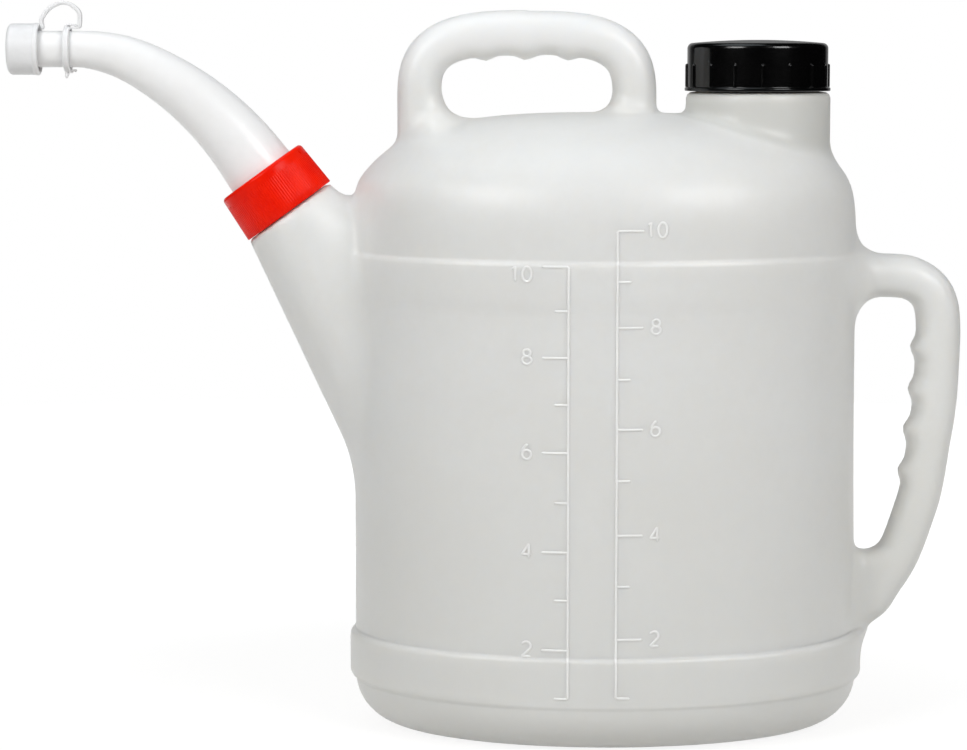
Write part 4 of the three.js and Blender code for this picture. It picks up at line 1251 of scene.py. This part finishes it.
def milky(place):
    """Clouds of two greys, with a darker one low down and near the neck as painted shade, and a paler one on
    the top grip as a painted glow.
    """
    tone = clouds(place.noise(95, 2, 0.5), place.noise(7, 4, 0.6), 0.75)
    colour = tone.mix(rgb(0.773, 0.760, 0.727), rgb(0.808, 0.800, 0.775))
    # Painted shade: darker round the neck, where the cap shadows it, and low down, where less light reaches
    # the wall.
    painted_neck_shade = 1 - place.far(neck_middle).within(shade.neck_near * MM, shade.neck_far * MM)
    painted_low_shade = 1 - place.axis("Z").within(shade.low * MM, shade.high * MM)
    colour = (painted_neck_shade + painted_low_shade * shade.low_share).mix(colour, rgb(0.648, 0.643, 0.612))
    # Painted light: the top grip is painted paler, a painted glow for the light that comes through the thin
    # grip.
    grip = place.axis("Z").within(shade.grip_low * MM, shade.grip_high * MM)
    colour = grip.mix(colour, rgb(0.93, 0.915, 0.89))
    across = place.axis("Y")
    parting = 1 - across.maths("ABSOLUTE", across).within(shade.parting_in * MM, shade.parting_out * MM)
    height = place.noise(34, 2, 0.5) * 0.55 + place.noise(1.3, 2, 0.6) * 0.012 + parting * 0.08
    rough = 0.33 + 0.12 * place.noise(16, 3, 0.6)
    return {"Base Color": colour, "Roughness": rough, "Normal": height.bump(1.0)}


def scattering(weight, radius, scale):
    """A plastic that light goes into: its share, how far red, green and blue go, and over what length."""
    return {"Subsurface Weight": weight, "Subsurface Radius": radius, "Subsurface Scale": scale, "IOR": 1.5}


milk_plastic = material("milky polyethylene", scattering(0.6, (1.0, 0.92, 0.82), 0.006), milky)


def raised(place):
    """The scale's ridges are painted paler than the wall, a painted light for the light that gathers in their
    sharp, thick edges.
    """
    tone = place.noise(9, 3, 0.6).within(0.3, 0.7)
    # These pale tones are painted light on the ridges.
    colour = tone.mix(rgb(0.833, 0.826, 0.811), rgb(0.870, 0.866, 0.855))
    rough = 0.3 + 0.1 * place.noise(3)
    return {"Base Color": colour, "Roughness": rough, "Normal": place.noise(1.3).bump(0.01)}


ridge_plastic_painted_paler = material("raised polyethylene", scattering(0.25, (1.0, 0.95, 0.9), 0.001), raised)
print("milky plastics:", milk_plastic.name, "and", ridge_plastic_painted_paler.name)


# %% The spout's plastic and the tip's
def spout_plastic(place):
    """Whiter than the can and glossier: slow clouds, and the slight waves of a drawn tube."""
    tone = clouds(place.noise(60, 2), place.noise(5, 3), 0.7)
    colour = tone.mix(rgb(0.893, 0.883, 0.876), rgb(0.925, 0.919, 0.915))
    height = place.noise(22, 2) * 0.25 + place.noise(1.1, 2) * 0.008
    return {"Base Color": colour, "Roughness": 0.26 + 0.1 * place.noise(12), "Normal": height.bump(1.0)}


def tip_plastic(place):
    """A cool, softer white with small clouds and the dimples of a thin moulding."""
    tone = clouds(place.noise(14, 3), place.noise(3, 3), 0.6)
    colour = tone.mix(rgb(0.785, 0.785, 0.792), rgb(0.825, 0.827, 0.835))
    height = place.noise(6, 2) * 0.12 + place.noise(0.7, 2) * 0.01
    return {"Base Color": colour, "Roughness": 0.33 + 0.14 * place.noise(5), "Normal": height.bump(1.0)}


white_plastic = material("spout polyethylene", scattering(0.35, (1.0, 0.95, 0.9), 0.004), spout_plastic)
soft_plastic = material("soft tip polyethylene", scattering(0.4, (1.0, 0.98, 0.96), 0.003), tip_plastic)
print("white plastics:", white_plastic.name, "and", soft_plastic.name)

# %% [markdown]
# ## Black, red and the hidden parts
#
# The filler cap is glossy black plastic whose top is a little duller from the sparked face of its mould and
# painted greyer, a painted reflection of the pale backdrop, with a few specks of dust. The collar is a clear
# orange red with little gloss. The foam and the rubber are matt.


# %% Black and red
def black_with_painted_grey_top(place):
    """Black with dust where two noises are high together, and a rougher top above the cap's edge, painted
    greyer as a painted reflection of the pale backdrop.
    """
    dust = place.noise(0.9, 2, 0.7).within(0.74, 0.80) * place.noise(9, 2).within(0.45, 0.65)
    edge = cap.bottom + cap.height
    top = place.axis("Z").within((edge - 0.3) * MM, (edge + 0.1) * MM)
    # The top's grey is a painted reflection of the pale backdrop. The sides stay black.
    plain = top.mix(rgb(0.0008, 0.0008, 0.0009), rgb(0.05, 0.05, 0.049))
    colour = dust.mix(plain, rgb(0.09, 0.09, 0.088))
    rough = 0.15 + 0.08 * place.noise(7, 4, 0.65) + 0.16 * top
    height = place.noise(0.8, 3, 0.6) * (0.006 + 0.02 * top) + place.noise(11, 2) * 0.05
    return {"Base Color": colour, "Roughness": rough, "Normal": height.bump(1.0)}


def red_plastic(place):
    """Two reds in small clouds, with the flow waves of the moulding."""
    tone = clouds(place.noise(18, 3), place.noise(2, 3), 0.7)
    colour = tone.mix(rgb(0.78, 0.007, 0.0003), rgb(0.88, 0.014, 0.0005))
    height = place.noise(9, 2) * 0.06 + place.noise(0.8, 2) * 0.006
    return {"Base Color": colour, "Roughness": 0.24 + 0.1 * place.noise(6, 4), "Normal": height.bump(1.0)}


black = material("black cap plastic", {"IOR": 1.5}, black_with_painted_grey_top)
red = material("red collar plastic", {**scattering(0.15, (1.0, 0.2, 0.1), 0.002), "IOR": 1.2}, red_plastic)
print("coloured plastics:", black.name, "and", red.name)


# %% Foam and rubber
def foam_pattern(place):
    """Cells of Voronoi noise, paler in the middle and matt throughout."""
    cells = place.node("ShaderNodeTexVoronoi", {}, {"Vector": place, "Scale": 1 / (0.7 * MM)}, "Distance")
    colour = cells.within(0.1, 0.7).mix(rgb(0.82, 0.81, 0.78), rgb(0.62, 0.60, 0.57))
    return {"Base Color": colour, "Roughness": 0.82 + 0.15 * cells, "Normal": cells.bump(0.12)}


def rubber_pattern(place):
    """Near black with a grey bloom in patches."""
    bloom = place.noise(4, 4, 0.7)
    colour = bloom.within(0.35, 0.75).mix(rgb(0.018, 0.018, 0.019), rgb(0.045, 0.044, 0.043))
    return {"Base Color": colour, "Roughness": 0.6 + 0.2 * bloom, "Normal": place.noise(0.6, 3).bump(0.03)}


foam = material("liner foam", {}, foam_pattern)
rubber = material("gasket rubber", {}, rubber_pattern)
for piece, surface in (
        (can_skin, milk_plastic), (scale_relief, ridge_plastic_painted_paler), (cap_shell, black), (cap_liner, foam),
        (collar_nut, red), (flat_gasket, rubber), (spout_tube, white_plastic), (tip_cup, soft_plastic),
        (strap_ring, soft_plastic), (flex_strap, soft_plastic)):
    piece.data.materials.clear()
    piece.data.materials.append(surface)
print("materials:", sorted(m.name for m in bpy.data.materials if m.users))

# %% [markdown]
# ## Floor, sky and lamps
#
# The studio is white behind the can and dark behind the camera: the black cap shows both. So the sky is white
# to the camera, but what gloss sees fades from pale behind the can to dark in front of it, and the light it
# gives is only a low fill. The floor is pale, and a glow that only direct looks see makes it white. Near the
# can the glow is weaker, so that the shadow shows. A large box lamp hangs over the can, and two stand in
# front, left and right.


# %% The floor
def seen_directly(signal):
    """1 for the rays that show the backdrop as it is, and 0 for those that light the object."""
    camera_ray, glossy_ray, through_ray = [
        signal.node("ShaderNodeLightPath", {}, {}, f"Is {kind} Ray")
        for kind in ("Camera", "Glossy", "Transmission")]
    return camera_ray.maths("MAXIMUM", camera_ray.maths("MAXIMUM", camera_ray, glossy_ray), through_ray)


def floor_tones(place):
    """Two pale tones in large, faint clouds."""
    return {"Base Color": place.noise(300).mix(rgb(0.66, 0.652, 0.63), rgb(0.69, 0.682, 0.66))}


def add_glow(finish, strength, least_share, near, far):
    """Mixes a glow into a finish for direct looks: a least share near the middle, and all of it far off."""
    tree = finish.node_tree
    plain = Signal(tree, tree.nodes["Principled BSDF"].outputs[0])
    glow = plain.node("ShaderNodeEmission", {}, {"Color": rgb(1, 1, 1), "Strength": strength})
    away = plain.node("ShaderNodeTexCoord", {}, {}, "Object").far().within(near, far)
    share = seen_directly(plain) * (least_share + (1 - least_share) * away)
    mixed = plain.node("ShaderNodeMixShader", {}, {0: share, 1: plain, 2: glow})
    tree.links.new(mixed.socket, tree.nodes["Material Output"].inputs["Surface"])


def disc(name, radius, top, thickness):
    """A flat disc: rings of radius share times r, once at its top and once below."""
    rings = np.linspace(0.02, 1, 6)[:, None] * radius
    a = even(96)
    upper = np.stack((rings * np.cos(a), rings * np.sin(a), 0 * rings + top + 0 * a), -1)
    return mesh_of(name, *skin(np.vstack((upper, upper[::-1] - [0, 0, thickness]))))


floor = disc("floor", radius=1500, top=-0.4, thickness=6)
pale_floor = material("pale floor", {"Roughness": 0.9}, floor_tones)
add_glow(pale_floor, strength=1.15, least_share=0.76, near=0.2, far=0.6)
floor.data.materials.append(pale_floor)
print("floor:", len(floor.data.polygons), "faces")


# %% The sky
world = bpy.data.worlds.new("studio")
bpy.context.scene.world = world
world.use_nodes = True
sky = Signal(world.node_tree)
direction = sky.node("ShaderNodeTexCoord", {}, {}, "Generated")

# Gloss sees half of white straight behind the can, and next to nothing elsewhere.
behind = direction.axis("Y").within(0.75, 0.99)
gloss = behind * 0.5 + 0.004

# The fill is a little stronger from above, and strongest from behind.
above = direction.axis("Z").within(-0.35, 0.15)
back = direction.axis("Y").within(-0.1, 0.7)
fill = 0.12 + 0.08 * above + 0.30 * back

# The camera sees plain white, gloss sees its own level, and the rest is fill.
camera_ray = sky.node("ShaderNodeLightPath", {}, {}, "Is Camera Ray")
direct = seen_directly(sky)
level = camera_ray + (1 - camera_ray) * (direct * gloss + (1 - direct) * fill)
background = world.node_tree.nodes["Background"]
background.inputs["Color"].default_value = rgb(1, 1, 1)
world.node_tree.links.new(level.socket, background.inputs["Strength"])
print("sky nodes:", len(world.node_tree.nodes))


# %% Lamps
def box_lamp(name, azimuth, elevation, distance, wide, high, power, colour=(1, 1, 1), aim=(0, 0, 0.22)):
    """A rectangular lamp on a sphere round its aim: azimuth 0 is in front and 90 to the right, in degrees."""
    a, e = math.radians(azimuth), math.radians(elevation)
    way = Vector((math.sin(a) * math.cos(e), -math.cos(a) * math.cos(e), math.sin(e)))
    data = bpy.data.lights.new(name, "AREA")
    data.shape, data.size, data.size_y, data.energy, data.color = "RECTANGLE", wide, high, power, colour
    lamp = bpy.data.objects.new(name, data)
    lamp.location = Vector(aim) + way * distance
    lamp.rotation_euler = way.to_track_quat("Z", "Y").to_euler()
    bpy.context.scene.collection.objects.link(lamp)
    return lamp


lamps = [
    box_lamp("overhead_box", azimuth=-65, elevation=78, distance=1.5, wide=1.3, high=1.0, power=5.75,
             colour=(0.87, 0.95, 1.0)),
    box_lamp("left_box", azimuth=-40, elevation=31, distance=2.0, wide=0.8, high=0.8, power=17.8),
    box_lamp("right_box", azimuth=40, elevation=31, distance=2.0, wide=0.8, high=0.8, power=17.8)]
print("lamps:", [(lamp.name, lamp.data.energy) for lamp in lamps])

# %% [markdown]
# ## The camera
#
# A long lens far away, a little above the can and tilted down by six degrees.

# %% The camera
eye = bpy.data.cameras.new("camera")
eye.lens, eye.sensor_width = 113.55, 36
camera = bpy.data.objects.new("camera", eye)
camera.location = (-0.0008, -1.6372, 0.3678)
camera_aim = Vector((-0.0008, 0, 0.188))
camera.rotation_euler = (camera_aim - camera.location).to_track_quat("-Z", "Y").to_euler()
bpy.context.scene.collection.objects.link(camera)
bpy.context.scene.camera = camera
bpy.context.scene.view_settings.view_transform = "Standard"
print("the camera looks down by", round(90 - math.degrees(camera.rotation_euler.x), 2), "degrees")
